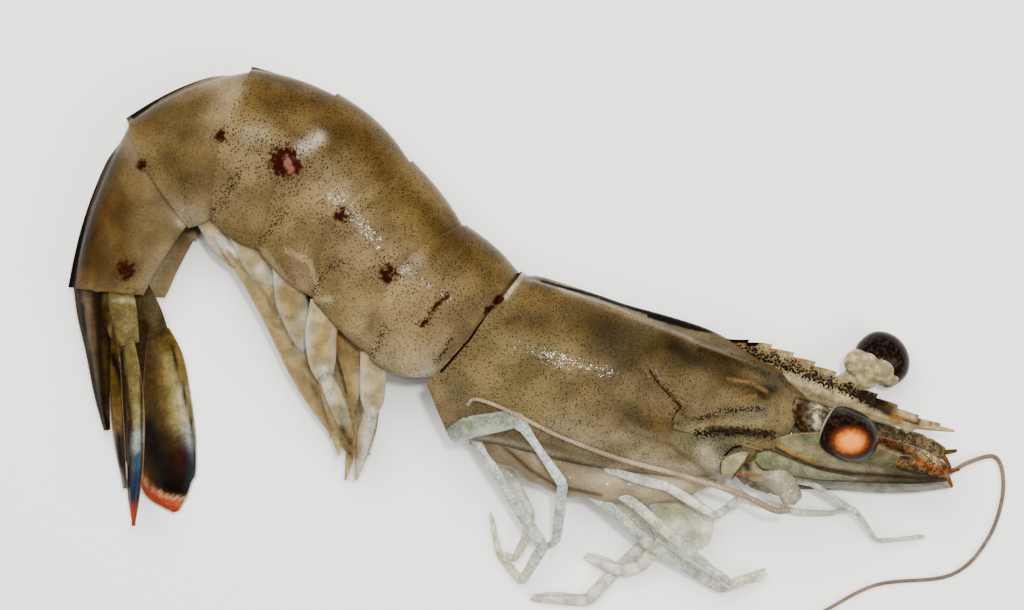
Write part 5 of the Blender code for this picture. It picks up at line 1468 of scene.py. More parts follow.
def feeler_tree():
    """Ringed feeler: a path drawn out into many short rings that taper from its root to its tip."""
    tree, given, result = new_node_tree("ringed feeler", {
        "Ring length": ("NodeSocketFloat", 0.0005), "Root radius": ("NodeSocketFloat", 0.0004),
        "Tip radius": ("NodeSocketFloat", 0.0002), "Tint": ("NodeSocketVector", None),
        "Dot": ("NodeSocketVector", None), "Material": ("NodeSocketMaterial", None),
    })
    add = partial(add_node, tree)
    line = add("GeometryNodeMeshToCurve", {0: given["Geometry"]})
    piece = add("ShaderNodeMath", {"operation": "DIVIDE", 0: given["Ring length"], 1: 5.0})
    line = add("GeometryNodeResampleCurve", {"mode": "LENGTH", "Curve": line, "Length": piece})
    along = add("GeometryNodeSplineParameter", {}).node.outputs
    taper = add("ShaderNodeMapRange", {
        0: along["Factor"], 3: given["Root radius"], 4: given["Tip radius"]})
    rings = add("ShaderNodeMath", {"operation": "DIVIDE", 0: along["Length"], 1: given["Ring length"]})
    part = add("ShaderNodeMath", {"operation": "FRACT", 0: rings})
    flare = add("ShaderNodeMapRange", {0: part, 3: 0.93, 4: 1.04})
    radius = add("ShaderNodeMath", {"operation": "MULTIPLY", 0: taper, 1: flare})
    dark = add("ShaderNodeMapRange", {**SMOOTH, 0: part, 1: 0.0, 2: 0.5})
    tint = add("ShaderNodeMix", {"data_type": "VECTOR", 0: dark, 4: given["Dot"], 5: given["Tint"]}, 1)
    line = add("GeometryNodeStoreNamedAttribute", {
        "data_type": "FLOAT_VECTOR", "Name": "tint", "Geometry": line, "Value": tint})
    circle = add("GeometryNodeCurvePrimitiveCircle", {"Resolution": 10, "Radius": 1.0})
    drawn = add("GeometryNodeCurveToMesh", {
        "Fill Caps": True, "Curve": line, "Profile Curve": circle, "Scale": radius})
    drawn = add("GeometryNodeSetShadeSmooth", {0: drawn})
    drawn = add("GeometryNodeRealizeInstances", {0: drawn})
    drawn = add("GeometryNodeSetMaterial", {0: drawn, "Material": given["Material"]})
    tree.links.new(drawn, result[0])
    return tree


def bristle_tree():
    """Bristle fringe: a thin tapering bristle on each point, of the point's reach and along its lie."""
    tree, given, result = new_node_tree("bristle fringe", {
        "Width": ("NodeSocketFloat", 0.00007), "Seed": ("NodeSocketInt", 3),
        "Material": ("NodeSocketMaterial", None),
    })
    add = partial(add_node, tree)
    half = add("ShaderNodeMath", {"operation": "DIVIDE", 0: given["Width"], 1: 2.0})
    bristle = add("GeometryNodeMeshCone", {
        "Vertices": BRISTLE_SIDES, "Side Segments": 2, "Depth": 1.0, "Radius Bottom": half})
    lie, reach = (add("GeometryNodeInputNamedAttribute", {"data_type": kind, "Name": name})
                  for kind, name in (("FLOAT_VECTOR", "lie"), ("FLOAT", "reach")))
    aim = add("FunctionNodeAlignRotationToVector", {"axis": "Z", "Vector": lie})
    vary = add("FunctionNodeRandomValue", {"data_type": "FLOAT", 2: 0.7, 3: 1.1, "Seed": given["Seed"]}, 1)
    long = add("ShaderNodeMath", {"operation": "MULTIPLY", 0: reach, 1: vary})
    size = add("ShaderNodeCombineXYZ", {0: 1.0, 1: 1.0, 2: long})
    spread = add("GeometryNodeInstanceOnPoints", {
        "Points": given["Geometry"], "Instance": bristle, "Rotation": aim, "Scale": size})
    spread = add("GeometryNodeRealizeInstances", {0: spread})
    spread = add("GeometryNodeSetMaterial", {0: spread, "Material": given["Material"]})
    tree.links.new(spread, result[0])
    return tree


def edge_roots(rings, wide, ways, spacing, reach, lean):
    """Roots of bristles on the edges of a blade, as rows of place, lie, reach and place on the skin's map.

    ways names the edges, 1 or -1, and lean is how far the bristles lean to the blade's tip, in radians.
    """
    found = []
    for way in ways:
        line = rings[:, 0 if way > 0 else rings.shape[1] // 2]
        run = lengths_along(line)
        # Bristles begin a little out from the blade's root and end just before its tip.
        at = np.arange(0.12 * run[-1], 0.995 * run[-1], spacing)
        roots, aside = eased(run, line, at), eased(run, wide, at) * way
        lies = aside * math.cos(lean) + eased(run, frames_of(line)[0], at) * math.sin(lean)
        reaches = reach * (0.35 + 0.65 * ramp(at / run[-1], 0.1, 0.6))
        lies[:, 2] = np.maximum(lies[:, 2], (TIP_CLEARANCE - roots[:, 2]) / reaches)
        row_on_map = np.full(len(at), 0.75 if way > 0 else 0.25)
        found.append(np.column_stack([roots, lies, reaches, at / run[-1], row_on_map]))
    return np.concatenate(found)


def make_fringe(name, blades, colour, slot, seed):
    """Bristles on the edges of some blades, with a map that gives each a patch at its root's place."""
    looks = bpy.context.scene.prawn_limbs
    # Columns of rows: place (0 to 2), lie (3 to 5), reach (6), place along and across the map (7 and 8).
    for k, rows in enumerate(blades):
        rows[:, 8] = (k + rows[:, 8]) / len(blades)
    rows = np.concatenate(blades)
    carrier = path_object(f"{name}_roots", rows[:, :3])
    lie = carrier.data.attributes.new("lie", "FLOAT_VECTOR", "POINT")
    lie.data.foreach_set("vector", rows[:, 3:6].astype(np.float32).ravel())
    reach = carrier.data.attributes.new("reach", "FLOAT", "POINT")
    reach.data.foreach_set("value", (rows[:, 6] * METRES).astype(np.float32))
    tree = bpy.data.node_groups.get("bristle fringe") or bristle_tree()
    made = baked(carrier, tree, {"Width": looks.bristle_width * METRES, "Seed": seed,
                                 "Material": horn(f"horny bristles, {name}", colour)}, name)
    corners = np.empty(len(made.data.loops), np.int32)
    made.data.loops.foreach_get("vertex_index", corners)
    each = len(made.data.vertices) // len(rows)
    inside = np.stack([corners % each % BRISTLE_SIDES, corners % each // BRISTLE_SIDES], axis=1) * PATCH / 4
    layer = made.data.uv_layers.new(name="OFBake")
    spots = rows[corners // each, 7:9] * MAP_SHARE + inside
    layer.data.foreach_set("uv", spots.astype(np.float32).ravel())
    settle(made, slot)


def smooth_path(points, steps):
    """Points of a smooth curve through way points."""
    ends = np.concatenate([[points[0] * 2 - points[1]], points, [points[-1] * 2 - points[-2]]])
    path = []
    for a, b, c, d in zip(ends, ends[1:], ends[2:], ends[3:]):
        for u in np.arange(steps) / steps:
            path.append(0.5 * (2 * b + (c - a) * u + (2 * a - 5 * b + 4 * c - d) * u * u
                               + (3 * b - a - 3 * c + d) * u ** 3))
    return np.array([*path, points[-1]])


# Operators


class PRAWN_OT_shield(bpy.types.Operator):
    """Make the carapace and the rostrum"""

    bl_idname = "prawn.shield"
    bl_label = "Shield"

    def execute(self, context):
        looks = context.scene.prawn_shell
        shield = make_carapace(skin_of("wet chitin, carapace"), looks.shield, looks.wall)
        settle(shield, "shell", "carapace")
        settle(make_rostrum(skin_of("wet chitin, rostrum"), ground_of("rostrum")), "shell")
        return {"FINISHED"}


class PRAWN_OT_abdomen(bpy.types.Operator):
    """Make the six plates of the abdomen"""

    bl_idname = "prawn.abdomen"
    bl_label = "Abdomen"

    def execute(self, context):
        looks = context.scene.prawn_shell
        plate = skin_of("wet chitin, abdomen")
        for number in range(1, 7):
            settle(make_somite(number, plate, looks.somite, looks.wall), "shell", f"abdomen_{number}")
        return {"FINISHED"}


class PRAWN_OT_underside(bpy.types.Operator):
    """Make the chest and the front of the head"""

    bl_idname = "prawn.underside"
    bl_label = "Underside"

    def execute(self, context):
        chest = make_underside(skin_of("soft clear chitin, underside"), ground_of("chest"))
        settle(chest, "underside", "thorax")
        settle(make_head(skin_of("wet chitin, head front"), ground_of("head")), "shell", "head")
        return {"FINISHED"}


LEG_MARKS = {
    "leg_right_5": [
        ("#6e745f", 0.95, 4.0, [(-7.4, -14.5), (-0.8, -13.8)]),
        ("#8c917e", 0.7, 1.2, [(-6.2, -15.5), (-0.2, -14.8)]),
        ("#aab0ac", 0.9, 2.4, [(1.4, -15.0), (6.0, -21.0), (5.5, -28.2)])],
    "leg_right_4": [
        ("#8b9180", 0.7, 1.0, [(-2.6, -19.8), (1.0, -27.0)]),
        ("#b5ad8e", 0.7, 2.4, [(1.0, -33.6), (-2.4, -27.0)])],
    "leg_right_3": [
        ("#8d9582", 0.8, 1.0, [(8.2, -23.0), (16.6, -28.8), (22.6, -32.4)]),
        ("#b3ad92", 0.7, 3.0, [(25.0, -33.6), (29.8, -32.4)])],
    "leg_right_2": [("#b3aa8c", 0.7, 2.0, [(10.6, -23.2), (17.8, -27.0)])],
    "leg_right_1": [("#c4c0ac", 0.8, 1.6, [(17.8, -21.2), (24.0, -24.8)])],
}
MOUTH_LEAF = [
    (15.4, -20.0, 5.0, 2.4, 0.5), (18.0, -22.6, 5.8, 4.4, 0.6), (20.6, -25.0, 5.8, 5.2, 0.6),
    (22.2, -27.2, 5.2, 4.6, 0.5), (22.9, -29.0, 4.8, 1.6, 0.4),
]
MOUTH_LEAF_MARKS = [
    ("#8b8a4c", 0.8, 2.6, [(18.4, -24.4), (20.4, -24.8)]), ("#8a7f66", 0.7, 2.0, [(21.6, -27.6)]),
    ("#c8c6b8", 0.8, 0.5, [(19.7, -26.0), (21.4, -26.8)]),
]


class PRAWN_OT_legs(bpy.types.Operator):
    """Make the walking legs and the mouth legs"""

    bl_idname = "prawn.legs"
    bl_label = "Legs"

    def execute(self, context):
        looks = context.scene.prawn_limbs
        near = skin_of("thin wet chitin, near legs"), looks.leg
        far = skin_of("thin wet chitin, far legs"), looks.far_leg
        settle(make_blade("mouth_leg_leaf", MOUTH_LEAF, 0, *far, MOUTH_LEAF_MARKS, sides=60), "legs")
        for name, joints in {**LEGS, **MAXILLIPEDS}.items():
            clawed = name.startswith("leg") and int(name[-1]) in CLAW_LEGS
            skin, ground = near if "right" in name else far
            made = make_limb(f"walking_{name}", joints, skin, ground, LEG_MARKS.get(name, ()), clawed)
            settle(made, "legs", name)
        return {"FINISHED"}


# The near-white strokes give the pale skin of the swimmerets together with a painted sheen of the water film
# on it.
SWIMMERET_MARKS = [
    ("#8d7a4e", 0.8, 2.4, [(-15.2, -7.2), (-15.6, -12.6)]),
    ("#a59b80", 0.9, 1.6, [(-18.0, -8.4), (-17.8, -11.4)]),
    ("#b8b2a2", 0.9, 1.6, [(-16.8, -13.2), (-17.5, -17.4), (-18.5, -20.8)]),
    ("#6f675a", 0.7, 0.5, [(-16.8, -17.4), (-18.0, -21.0)]),
    ("#b5b19c", 0.9, 2.2, [(-25.2, -1.8), (-24.8, -4.8)]),
    ("#8a7342", 0.8, 2.0, [(-22.8, -3.0), (-23.3, -5.6)]),
    ("#8a5e28", 0.8, 1.2, [(-21.2, -1.8), (-21.1, -4.8)]),
    ("#b4ad98", 0.9, 1.6, [(-22.8, -7.8), (-21.8, -11.4)]),
    ("#6b6c5a", 0.9, 1.2, [(-20.4, -12.6), (-20.2, -14.8)]),
    ("#3a240e", 0.9, 1.4, [(-20.3, -15.0), (-19.4, -16.8), (-19.0, -18.0)]),
    ("#5a4422", 0.8, 0.5, [(-24.8, -6.8), (-23.3, -11.2), (-21.6, -15.0)]),
    ("#6b4f26", 0.8, 0.9, [(-20.9, 0.6), (-20.2, -3.0)]),
    ("#bdb7a6", 0.9, 1.6, [(-35.6, 7.8), (-33.6, 6.6)]),
    ("#bdb7a6", 0.8, 1.4, [(-30.0, 4.2), (-28.3, 2.8)]),
    ("#7d6534", 0.7, 1.8, [(-27.2, 1.8), (-25.4, -3.6)]),
    ("#6b5228", 0.8, 0.4, [(-34.1, 6.4), (-30.0, 1.8), (-26.4, -4.8)]),
]


# Thin skins between the swimmerets, as (colour, stations)
SWIMMERET_SKINS = {
    "swimmeret_skin": ("#8b7346", [
        (-21.2, 0.2, 8.6, 1.6, 0.6), (-20.2, -2.6, 8.4, 3.0, 0.6), (-19.3, -6.0, 7.8, 3.2, 0.6),
        (-19.0, -9.4, 7.2, 2.0, 0.5), (-19.2, -12.6, 6.4, 0.6, 0.4)]),
    "swimmeret_sheet": ("#83734e", [
        (-35.4, 8.4, 9.0, 1.2, 0.6), (-31.2, 4.0, 8.6, 3.4, 0.6), (-27.4, -1.4, 7.6, 4.8, 0.6),
        (-24.4, -7.6, 6.4, 4.8, 0.6), (-21.6, -13.2, 5.2, 3.4, 0.5), (-19.6, -17.6, 4.2, 0.6, 0.4)]),
}


class PRAWN_OT_swimmerets(bpy.types.Operator):
    """Make the swimmerets of both sides"""

    bl_idname = "prawn.swimmerets"
    bl_label = "Swimmerets"

    def execute(self, context):
        looks = context.scene.prawn_limbs
        skin = skin_of("thin wet chitin, swimmerets")
        for name, (ground, stations) in SWIMMERET_SKINS.items():
            settle(make_blade(name, stations, 0, skin, hex_colour(ground), SWIMMERET_MARKS), "swimmerets")
        fringes = []
        for number, joints in enumerate(SWIMMERETS, 1):
            shift = FAR_SHIFTS[number - 1]
            below = [(x + shift, y, z * FAR_HEIGHT, r * FAR_WIDTH) for x, y, z, r in joints]
            arms = ONE_ARM if number == 1 else TWO_ARMS
            for side, course in (("right", joints), ("left", below)):
                made = make_swimmeret(
                    f"paddle_{side}_{number}", course, skin, looks.swimmeret, SWIMMERET_MARKS, arms, fringes)
                settle(made, "swimmerets", f"swimmeret_{side}_{number}")
        make_fringe("paddle_bristles", fringes, looks.bristle, "swimmerets", 5)
        return {"FINISHED"}


# The ground and the marks of each blade of the tail fan
TAIL_MARKS = {
    "telson": ("#2c1c08", [
        ("#57482f", 0.9, 1.5, [(-51.0, 0.6), (-50.5, -4.8)]),
        ("#4a3a20", 0.8, 1.0, [(-50.0, -6.6), (-49.2, -11.4)]),
        ("#4d3a18", 0.95, 0.8, [(-49.1, -4.8), (-48.6, -9.6), (-48.2, -13.2)]),
        ("#120800", 0.9, 1.4, [(-49.8, 0.6), (-49.4, -6.6), (-49.0, -11.4)]),
        ("#080402", 1.0, 0.5, [(-51.5, 0.0), (-51.1, -5.4), (-49.8, -10.8), (-48.6, -14.6)]),
        ("#3c2a10", 0.8, 0.8, [(-50.4, -1.8), (-50.2, -5.4)])]),
    "uropod_right_base": ("#4d421e", [
        ("#5f5330", 0.9, 2.6, [(-46.1, -1.6), (-46.1, -3.6)]),
        ("#2a1a04", 0.9, 1.6, [(-48.8, -0.6), (-49.0, -4.8)]),
        ("#6d6040", 0.8, 0.7, [(-48.0, -2.4), (-48.6, -5.4)]),
        ("#2e2008", 0.9, 0.5, [(-47.8, -1.6), (-47.9, -4.4), (-46.6, -5.4)]),
        ("#8c7c58", 0.8, 0.7, [(-47.3, 0.6), (-44.9, 0.4)]),
        ("#0d0602", 0.9, 0.4, [(-44.5, -0.6), (-44.5, -5.4)])]),
    "uropod_left_base": ("#3a2c12", [
        ("#4f4526", 0.8, 1.8, [(-43.4, 0.6), (-42.2, -1.8)]),
        ("#2a1c08", 0.8, 1.2, [(-41.6, 1.8), (-42.2, -4.2)])]),
    "uropod_right_outer": ("#5d5028", [
        ("#746537", 0.9, 1.8, [(-45.0, -10.2), (-45.1, -14.4)]),
        ("#857a55", 0.9, 1.1, [(-44.8, -12.6), (-44.6, -15.5)]),
        ("#8d9690", 0.95, 1.6, [(-44.8, -15.7), (-45.0, -17.2)]),
        ("#1f4058", 0.95, 1.6, [(-44.8, -18.2), (-44.9, -20.0)]),
        ("#0a2140", 1.0, 2.0, [(-45.1, -20.8), (-45.5, -23.8)]),
        ("#050304", 1.0, 1.2, [(-46.2, -14.4), (-46.1, -18.0), (-46.2, -23.4)]),
        ("#3a2405", 0.9, 0.5, [(-47.3, -5.6), (-46.3, -9.6), (-45.6, -15.0)]),
        ("#070504", 1.0, 0.4, [(-44.5, -5.4), (-44.4, -18.6), (-44.9, -24.0)]),
        ("#8f2c14", 1.0, 1.7, [(-45.8, -24.5), (-45.5, -26.2)])]),
    "uropod_right_inner": ("#3e2a08", [
        ("#5a4620", 0.9, 1.2, [(-48.6, -5.4), (-48.2, -11.4), (-47.8, -16.2)]),
        ("#080402", 1.0, 0.9, [(-48.0, -6.0), (-47.0, -8.4), (-46.6, -10.4)]),
        ("#5c4316", 0.9, 0.9, [(-47.2, -11.4), (-47.2, -15.2)]),
        ("#1a0e02", 0.9, 0.6, [(-46.6, -11.4), (-46.6, -15.7)]),
        ("#060303", 1.0, 1.8, [(-46.9, -16.2), (-46.7, -19.2), (-46.4, -22.8)]),
        ("#8f8458", 0.9, 0.7, [(-48.5, -14.4), (-47.9, -18.0), (-47.3, -20.4)]),
        ("#8d9690", 0.9, 0.8, [(-47.3, -20.0), (-46.8, -22.2)]),
        ("#a8321a", 1.0, 1.3, [(-46.6, -23.0), (-46.3, -24.2)])]),
    "uropod_left_outer": ("#4a3710", [
        ("#38301a", 0.9, 3.4, [(-43.4, 0.0), (-42.5, -3.0)]),
        ("#2e1e04", 0.9, 3.0, [(-43.4, -5.4), (-43.2, -11.4)]),
        ("#4c3a14", 0.9, 3.0, [(-42.0, -5.4), (-41.6, -11.4)]),
        ("#7b6c40", 0.95, 2.0, [(-41.0, -6.6), (-40.2, -11.4), (-40.3, -14.4)]),
        ("#8d8663", 0.9, 1.4, [(-39.8, -10.2), (-39.1, -14.4)]),
        ("#8b9080", 0.9, 1.6, [(-38.8, -14.8), (-38.5, -16.9)]),
        ("#5a7385", 0.8, 1.2, [(-38.4, -17.2), (-38.3, -18.8)]),
        ("#0c0502", 1.0, 5.2, [(-43.2, -16.4), (-42.2, -18.8), (-41.3, -21.5)]),
        ("#080302", 1.0, 4.4, [(-39.8, -18.8), (-39.1, -20.8), (-40.1, -22.2)]),
        ("#0b0503", 1.0, 2.0, [(-43.8, -14.4), (-43.4, -16.2)]),
        ("#2c0a06", 0.8, 1.8, [(-39.8, -17.6), (-39.8, -19.3)]),
        ("#1c2a30", 0.7, 1.4, [(-38.3, -19.6), (-38.3, -21.6)]),
        ("#9a4a24", 1.0, 1.1, [
            (-44.9, -20.5), (-43.7, -22.4), (-41.9, -23.6), (-39.6, -24.0), (-37.8, -23.4)]),
        ("#8c3018", 1.0, 1.4, [(-44.2, -22.0), (-42.2, -23.8), (-40.2, -24.8)]),
        ("#b98a60", 0.9, 0.4, [
            (-44.6, -20.3), (-43.4, -22.0), (-41.5, -23.0), (-39.4, -23.3), (-37.9, -22.4)]),
        ("#060302", 1.0, 0.4, [(-40.8, -4.8), (-39.4, -10.4), (-38.3, -15.0), (-37.9, -19.8)])]),
    "uropod_left_inner": ("#2a1c08", []),
}


class PRAWN_OT_tail_fan(bpy.types.Operator):
    """Make the telson and the uropods"""

    bl_idname = "prawn.tail_fan"
    bl_label = "Tail fan"

    def execute(self, context):
        skin = skin_of("pigmented wet chitin, tail fan")
        fringes = []
        for name, (turn, stations) in TAIL.items():
            ground, marks = TAIL_MARKS[name]
            made = make_blade(f"fan_{name}", stations, turn, skin, hex_colour(ground), marks)
            settle(made, "tail_fan", name)
            if "base" not in name and name != "telson":
                rings, _, _, wide = blade_rings(stations, turn)
                fringes.append(edge_roots(rings, wide, (1, -1), *FAN_FRINGE))
        make_fringe("fan_bristles", fringes, ground_of("fan_bristles"), "tail_fan", 4)
        return {"FINISHED"}


STALK_MARKS = [
    ("#0d0804", 0.9, 1.0, [(33.4, -11.9), (34.6, -12.8)]),
    ("#1a1006", 0.9, 0.7, [(35.3, -11.6), (36.0, -13.3)]),
    ("#5a4a2a", 0.8, 0.5, [(34.1, -11.6), (33.4, -13.3)]),
    ("#0d0804", 0.8, 0.6, [(32.6, -11.4), (32.6, -13.2)]),
    ("#8a846c", 0.9, 1.4, [(36.6, -12.4), (36.4, -14.4)]),
    ("#2a1c0a", 0.8, 0.6, [(34.1, -13.6), (36.0, -14.8)]),
]


class PRAWN_OT_eyes(bpy.types.Operator):
    """Make the eyes and their stalks"""

    bl_idname = "prawn.eyes"
    bl_label = "Eyes"

    def execute(self, context):
        for side, surface in (("right", "mottled"), ("left", "glassy")):
            settle(make_eye(side, cornea(side)), "eyes", f"eye_{side}")
            path, run, at = limb_path(STALKS[side], 0.8)
            shape = Shape(ground_of(f"stalk_{side}"), STALK_MARKS)
            radii = eased(at, [r for *_, r in STALKS[side]], run)
            add_tube(shape, path, radii, radii, 24)
            if side == "left":
                add_cluster(shape, EYE_LOBES, ground_of("eye_lobes"))
            made = shape.make(f"stalk_{side}", skin_of(f"{surface} wet chitin, eye stalks"))
            settle(made, "eyestalks", f"eyestalk_{side}")
        return {"FINISHED"}


SCALE_MARKS = [
    ("#5c5a42", 0.9, 4.6, [(31.0, -16.2), (34.6, -16.2), (40.6, -18.0)]),
    ("#74694a", 0.8, 2.0, [(33.4, -16.4), (38.2, -18.4)]),
    ("#2f3a24", 0.8, 1.6, [(34.0, -14.5), (35.3, -16.0)]),
    ("#7a7866", 0.9, 1.7, [(31.2, -17.6), (34.0, -19.1), (40.6, -20.8)]),
    ("#433c28", 0.8, 2.0, [(44.2, -19.8), (50.2, -20.3)]),
    ("#85765a", 0.7, 1.0, [(37.2, -19.3), (44.2, -20.0)]),
    ("#241504", 0.95, 0.75, [
        (29.4, -16.6), (31.2, -16.9), (33.4, -18.1), (36.4, -19.4), (40.6, -20.2), (52.0, -20.9)]),
    ("#7c5c24", 0.9, 0.5, [(29.8, -16.2), (31.7, -16.6), (33.8, -17.8), (36.7, -19.0)]),
    ("#100903", 1.0, 0.8, [(30.4, -19.0), (32.8, -19.8), (36.4, -20.8), (40.6, -21.4), (51.6, -21.4)]),
    ("#6d5018", 0.8, 0.6, [(29.3, -18.4), (30.4, -19.0), (32.2, -19.6)]),
    ("#8d866a", 0.8, 1.0, [(29.6, -17.3), (30.5, -18.1)]),
]
SCALE_BARS = [(0.9, 1.6, [(47.2, -19.7), (51.6, -20.5)]), (0.5, 1.2, [(40.6, -18.8), (46.6, -19.4)])]
PLATE_MARKS = [
    ("#7c4a1c", 0.9, 0.5, [(26.8, -20.5), (29.8, -20.4)]),
    ("#1d1206", 0.8, 0.5, [(25.4, -18.0), (26.5, -17.0), (28.3, -16.6)]),
]
ROOT_MARKS = [
    ("#8d8466", 0.9, 1.6, [(26.4, -18.4), (26.2, -19.8)]),
    ("#1d1206", 0.95, 1.0, [(28.6, -17.0), (27.8, -18.2), (28.3, -19.6)]),
    ("#4d4730", 0.8, 0.8, [(28.8, -17.6), (28.6, -18.8)]),
    ("#6d4a18", 0.9, 0.5, [(29.4, -16.9), (29.0, -18.4), (29.8, -19.7)]),
    *PLATE_MARKS,
    ("#7f7a68", 0.9, 2.6, [(31.6, -20.8), (33.4, -23.4)]),
]
# A small plate and a long thin blade, as (colour, turn in degrees, stations)
ROOT_PLATES = [
    ("#766d50", -12, [
        (25.7, -20.6, 12.2, 1.6, 0.6), (26.3, -19.0, 13.0, 2.6, 0.7), (27.2, -17.8, 13.2, 2.6, 0.7),
        (28.4, -17.0, 13.0, 1.2, 0.5)]),
    ("#5b5b44", 20, [
        (29.3, -18.2, 13.3, 1.2, 0.6), (30.1, -18.4, 13.3, 2.5, 0.7), (32.0, -19.0, 12.7, 2.5, 0.7),
        (34.2, -19.7, 11.9, 2.1, 0.6), (36.6, -20.3, 11.3, 1.5, 0.5), (39.0, -20.6, 10.7, 1.0, 0.5),
        (41.4, -20.8, 9.9, 0.4, 0.4)]),
]
ANTENNULE_MARKS = [
    ("#2b1606", 0.9, 2.0, [(44.9, -16.2), (47.2, -17.4)]),
    ("#0d0703", 0.9, 1.0, [(45.1, -17.2), (47.5, -18.4)]),
    ("#6e3a0c", 0.9, 1.0, [(44.2, -15.7), (46.0, -16.0)]),
    ("#6a5330", 0.9, 1.8, [(48.4, -16.9), (50.8, -18.1)]),
    ("#8c7b56", 0.8, 1.0, [(49.2, -17.6), (51.1, -18.8)]),
    ("#74340c", 0.95, 0.7, [(48.7, -18.7), (50.8, -19.6), (52.3, -20.3)]),
    ("#0c0603", 0.9, 1.0, [(46.6, -19.8), (49.6, -20.4)]),
    ("#4a2c10", 0.8, 1.0, [(51.6, -17.6), (52.3, -19.3)]),
]


def make_scale(side, material, fringes):
    """An antennal scale, whose bristles go to fringes."""
    rings, _, _, wide = blade_rings(SCALES[side], SCALE_TURN, sides=110, rows=160)
    fringes.append(edge_roots(rings, wide, (-1,), *SCALE_FRINGE))
    shape = Shape(ground_of(f"scale_{side}"), SCALE_MARKS if side == "right" else ())
    bars = lines_at(*seen_at(rings), SCALE_BARS)
    shape.loft(rings, {"dots": np.full(bars.shape, 0.4), "bars": bars})
    return shape.make(f"scale_{side}", material)


def make_antennule(side, material):
    """The thick stem of an antennule and its two short feelers, which lean apart."""
    joints = ANTENNULES[side]
    path, run, at = limb_path(joints, 0.8)
    skin = sum(falloff(run - joint, 0.5) for joint in at[1:-1])
    size = eased(at, [r for *_, r in joints], run) * (1 - 0.12 * skin)
    shape = Shape(ground_of(f"antennule_{side}"), ANTENNULE_MARKS if side == "right" else ())
    add_tube(shape, path, size, size * 0.8, 36, {"dots": np.ones_like(run), "bars": np.full_like(run, 0.35)})
    tip = place(*joints[-1][:3])
    heading = tip - place(*joints[-2][:3])
    heading /= np.linalg.norm(heading)
    beside = np.cross(heading, (0, 0, 1.0))
    v = np.linspace(0, 1, 24)[:, None]
    thin = (0.5 - 0.3 * v[:, 0]) * (1 + 0.08 * np.sin(v[:, 0] * 60))
    for lean in FLAGELLUM_LEANS:
        ahead = (heading - beside * lean * v) * (FLAGELLUM + FLAGELLUM_ROOT) * v
        course = tip - heading * FLAGELLUM_ROOT + ahead
        add_tube(shape, course, thin, thin, 12, ground=ground_of("short_feeler"))
    return shape.make(f"antennule_stem_{side}", material)


def make_root_plates(material):
    """The plate and the blade at the root of the upper antenna."""
    shape = Shape()
    for ground, turn, stations in ROOT_PLATES:
        rings, _, across, _ = blade_rings(stations, turn, sides=70, rows=90, rib=0.0, edge=0.5)
        shape.loft(rings, {"tint": edged(rings, across, hex_colour(ground), PLATE_MARKS, PLATE_EDGE, 0.95)})
    return shape.make("antenna_root_plates", material)


class PRAWN_OT_antennae(bpy.types.Operator):
    """Make the bases, scales and short feelers of the antennae"""

    bl_idname = "prawn.antennae"
    bl_label = "Antennae"

    def execute(self, context):
        root = skin_of("thin wet chitin, antenna base")
        leaf = skin_of("thin wet chitin, antennal scale")
        stem = skin_of("mottled chitin, antennule")
        fringes = []
        for side in ("right", "left"):
            made = make_limb(
                f"antenna_root_{side}", ANTENNA_BASES[side], root, ground_of("antenna_root"), ROOT_MARKS,
                flatness=0.62, sides=90)
            settle(made, "antennal_scales", f"antenna_base_{side}")
            settle(make_scale(side, leaf, fringes), "antennal_scales", f"antenna_scale_{side}")
            settle(make_antennule(side, stem), "antennal_scales", f"antennule_{side}")
        settle(make_root_plates(root), "antennal_scales")
        make_fringe("scale_bristles", fringes, context.scene.prawn_limbs.bristle, "antennal_scales", 6)
        return {"FINISHED"}


class PRAWN_OT_feelers(bpy.types.Operator):
    """Make the two long ringed feelers"""

    bl_idname = "prawn.feelers"
    bl_label = "Feelers"

    def execute(self, context):
        looks = context.scene.prawn_limbs
        tree = feeler_tree()
        skin = skin_of("ringed wet chitin, feelers")
        for side, tint in (("right", looks.feeler), ("left", looks.far_feeler)):
            course, count, root, tip = FEELERS[side]
            path = smooth_path(np.array([place(*spot_at) for spot_at in course]), 8)
            path[:, 2] = np.maximum(path[:, 2], root * 1.1)
            colour = tuple(tint)[:3]
            made = baked(path_object(f"feeler_path_{side}", path), tree, {
                "Ring length": looks.ring_length * METRES, "Root radius": root * METRES,
                "Tip radius": tip * METRES, "Tint": colour,
                "Dot": tuple(DARK_RING * part for part in colour), "Material": skin,
            }, f"long_feeler_{side}")
            settle(made, "feelers", *(f"feeler_{side}_{n + 1}" for n in range(count)))
        return {"FINISHED"}


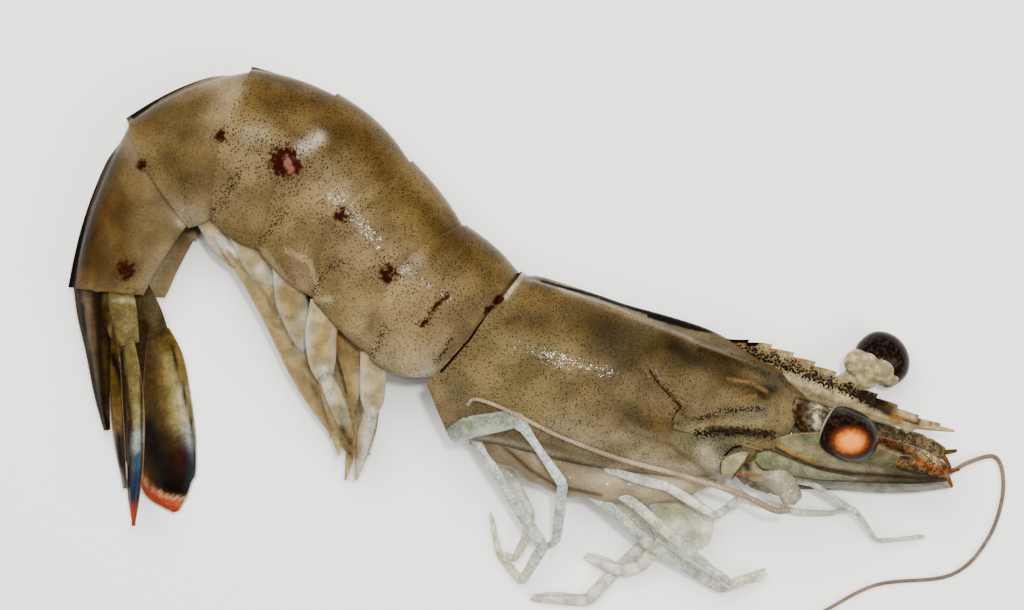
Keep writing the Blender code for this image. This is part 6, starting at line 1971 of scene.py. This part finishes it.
class PRAWN_OT_stage(bpy.types.Operator):
    """Make the floor, the soft light and the camera"""

    bl_idname = "prawn.stage"
    bl_label = "Stage"

    def execute(self, context):
        scene = context.scene
        looks = scene.prawn_stage
        mesh = bpy.data.meshes.new("floor")
        corners = [(x * FLOOR_REACH, y * FLOOR_REACH, 0) for x, y in ((-1, -1), (1, -1), (1, 1), (-1, 1))]
        mesh.from_pydata(corners, [], [(0, 1, 2, 3)])
        floor = bpy.data.objects.new("floor", mesh)
        scene.collection.objects.link(floor)
        # Matt paint: an even pale ground with no reflections beside the wet animal
        matt, _, _ = new_surface("matt pale floor", {"Roughness": 0.6, "Base Color": looks.floor})
        mesh.materials.append(matt)
        world = bpy.data.worlds.new("soft room")
        world.use_nodes = True
        sky = world.node_tree.nodes["Background"].inputs
        sky["Color"].default_value = hex_colour("#f2f4f6")
        sky["Strength"].default_value = ROOM_STRENGTH * looks.light
        scene.world = world
        for name, (spot_at, size, power) in LAMPS.items():
            light = bpy.data.lights.new(name, "AREA")
            light.shape = "DISK"
            light.size = size
            light.energy = power * looks.light
            lamp = bpy.data.objects.new(name, light)
            scene.collection.objects.link(lamp)
            lamp.location = spot_at
            lamp.visible_glossy = name != "key"
            aim = -np.array(spot_at)
            tilt = math.atan2(math.hypot(aim[0], aim[1]), -aim[2])
            lamp.rotation_euler = (tilt, 0, math.atan2(aim[1], aim[0]) - math.pi / 2)
        camera = bpy.data.cameras.new("eye above")
        camera.sensor_width = 36.0
        camera.lens = camera.sensor_width * (VIEW_HEIGHT - MID_HEIGHT) / PICTURE_WIDTH
        camera.clip_start = 0.01
        eye = bpy.data.objects.new("eye above", camera)
        scene.collection.objects.link(eye)
        eye.location = (-CENTRE_X * METRES, -CENTRE_Y * METRES, VIEW_HEIGHT * METRES)
        scene.camera = eye
        return {"FINISHED"}


class PRAWN_PT_panel(bpy.types.Panel):
    """The sidebar panel that lists the settings and the pieces"""

    bl_idname = "PRAWN_PT_panel"
    bl_label = "Western king prawn"
    bl_space_type = "VIEW_3D"
    bl_region_type = "UI"
    bl_category = "Prawn"

    def draw(self, context):
        for group in GROUPS:
            settings = getattr(context.scene, group)
            box = self.layout.box()
            for key in settings.bl_rna.properties.keys():
                if key not in ("rna_type", "name"):
                    box.prop(settings, key)
        for operator in MAKERS:
            self.layout.operator(operator.bl_idname)


GROUPS = {"prawn_shell": PrawnShell, "prawn_limbs": PrawnLimbs, "prawn_stage": PrawnStage}
MAKERS = [
    PRAWN_OT_shield, PRAWN_OT_abdomen, PRAWN_OT_underside, PRAWN_OT_legs, PRAWN_OT_swimmerets,
    PRAWN_OT_tail_fan, PRAWN_OT_eyes, PRAWN_OT_antennae, PRAWN_OT_feelers, PRAWN_OT_stage,
]


def register():
    """Adds the settings, the operators and the panel."""
    for made in (*GROUPS.values(), *MAKERS, PRAWN_PT_panel):
        bpy.utils.register_class(made)
    for key, group in GROUPS.items():
        setattr(bpy.types.Scene, key, bpy.props.PointerProperty(type=group))


def unregister():
    """Takes away what register() adds."""
    for key in GROUPS:
        delattr(bpy.types.Scene, key)
    for made in (PRAWN_PT_panel, *reversed(MAKERS), *GROUPS.values()):
        bpy.utils.unregister_class(made)


def main():
    """Makes every piece in order."""
    register()
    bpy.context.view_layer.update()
    for maker in MAKERS:
        getattr(bpy.ops.prawn, maker.bl_idname.split(".")[1])()


if __name__ == "__main__":
    main()
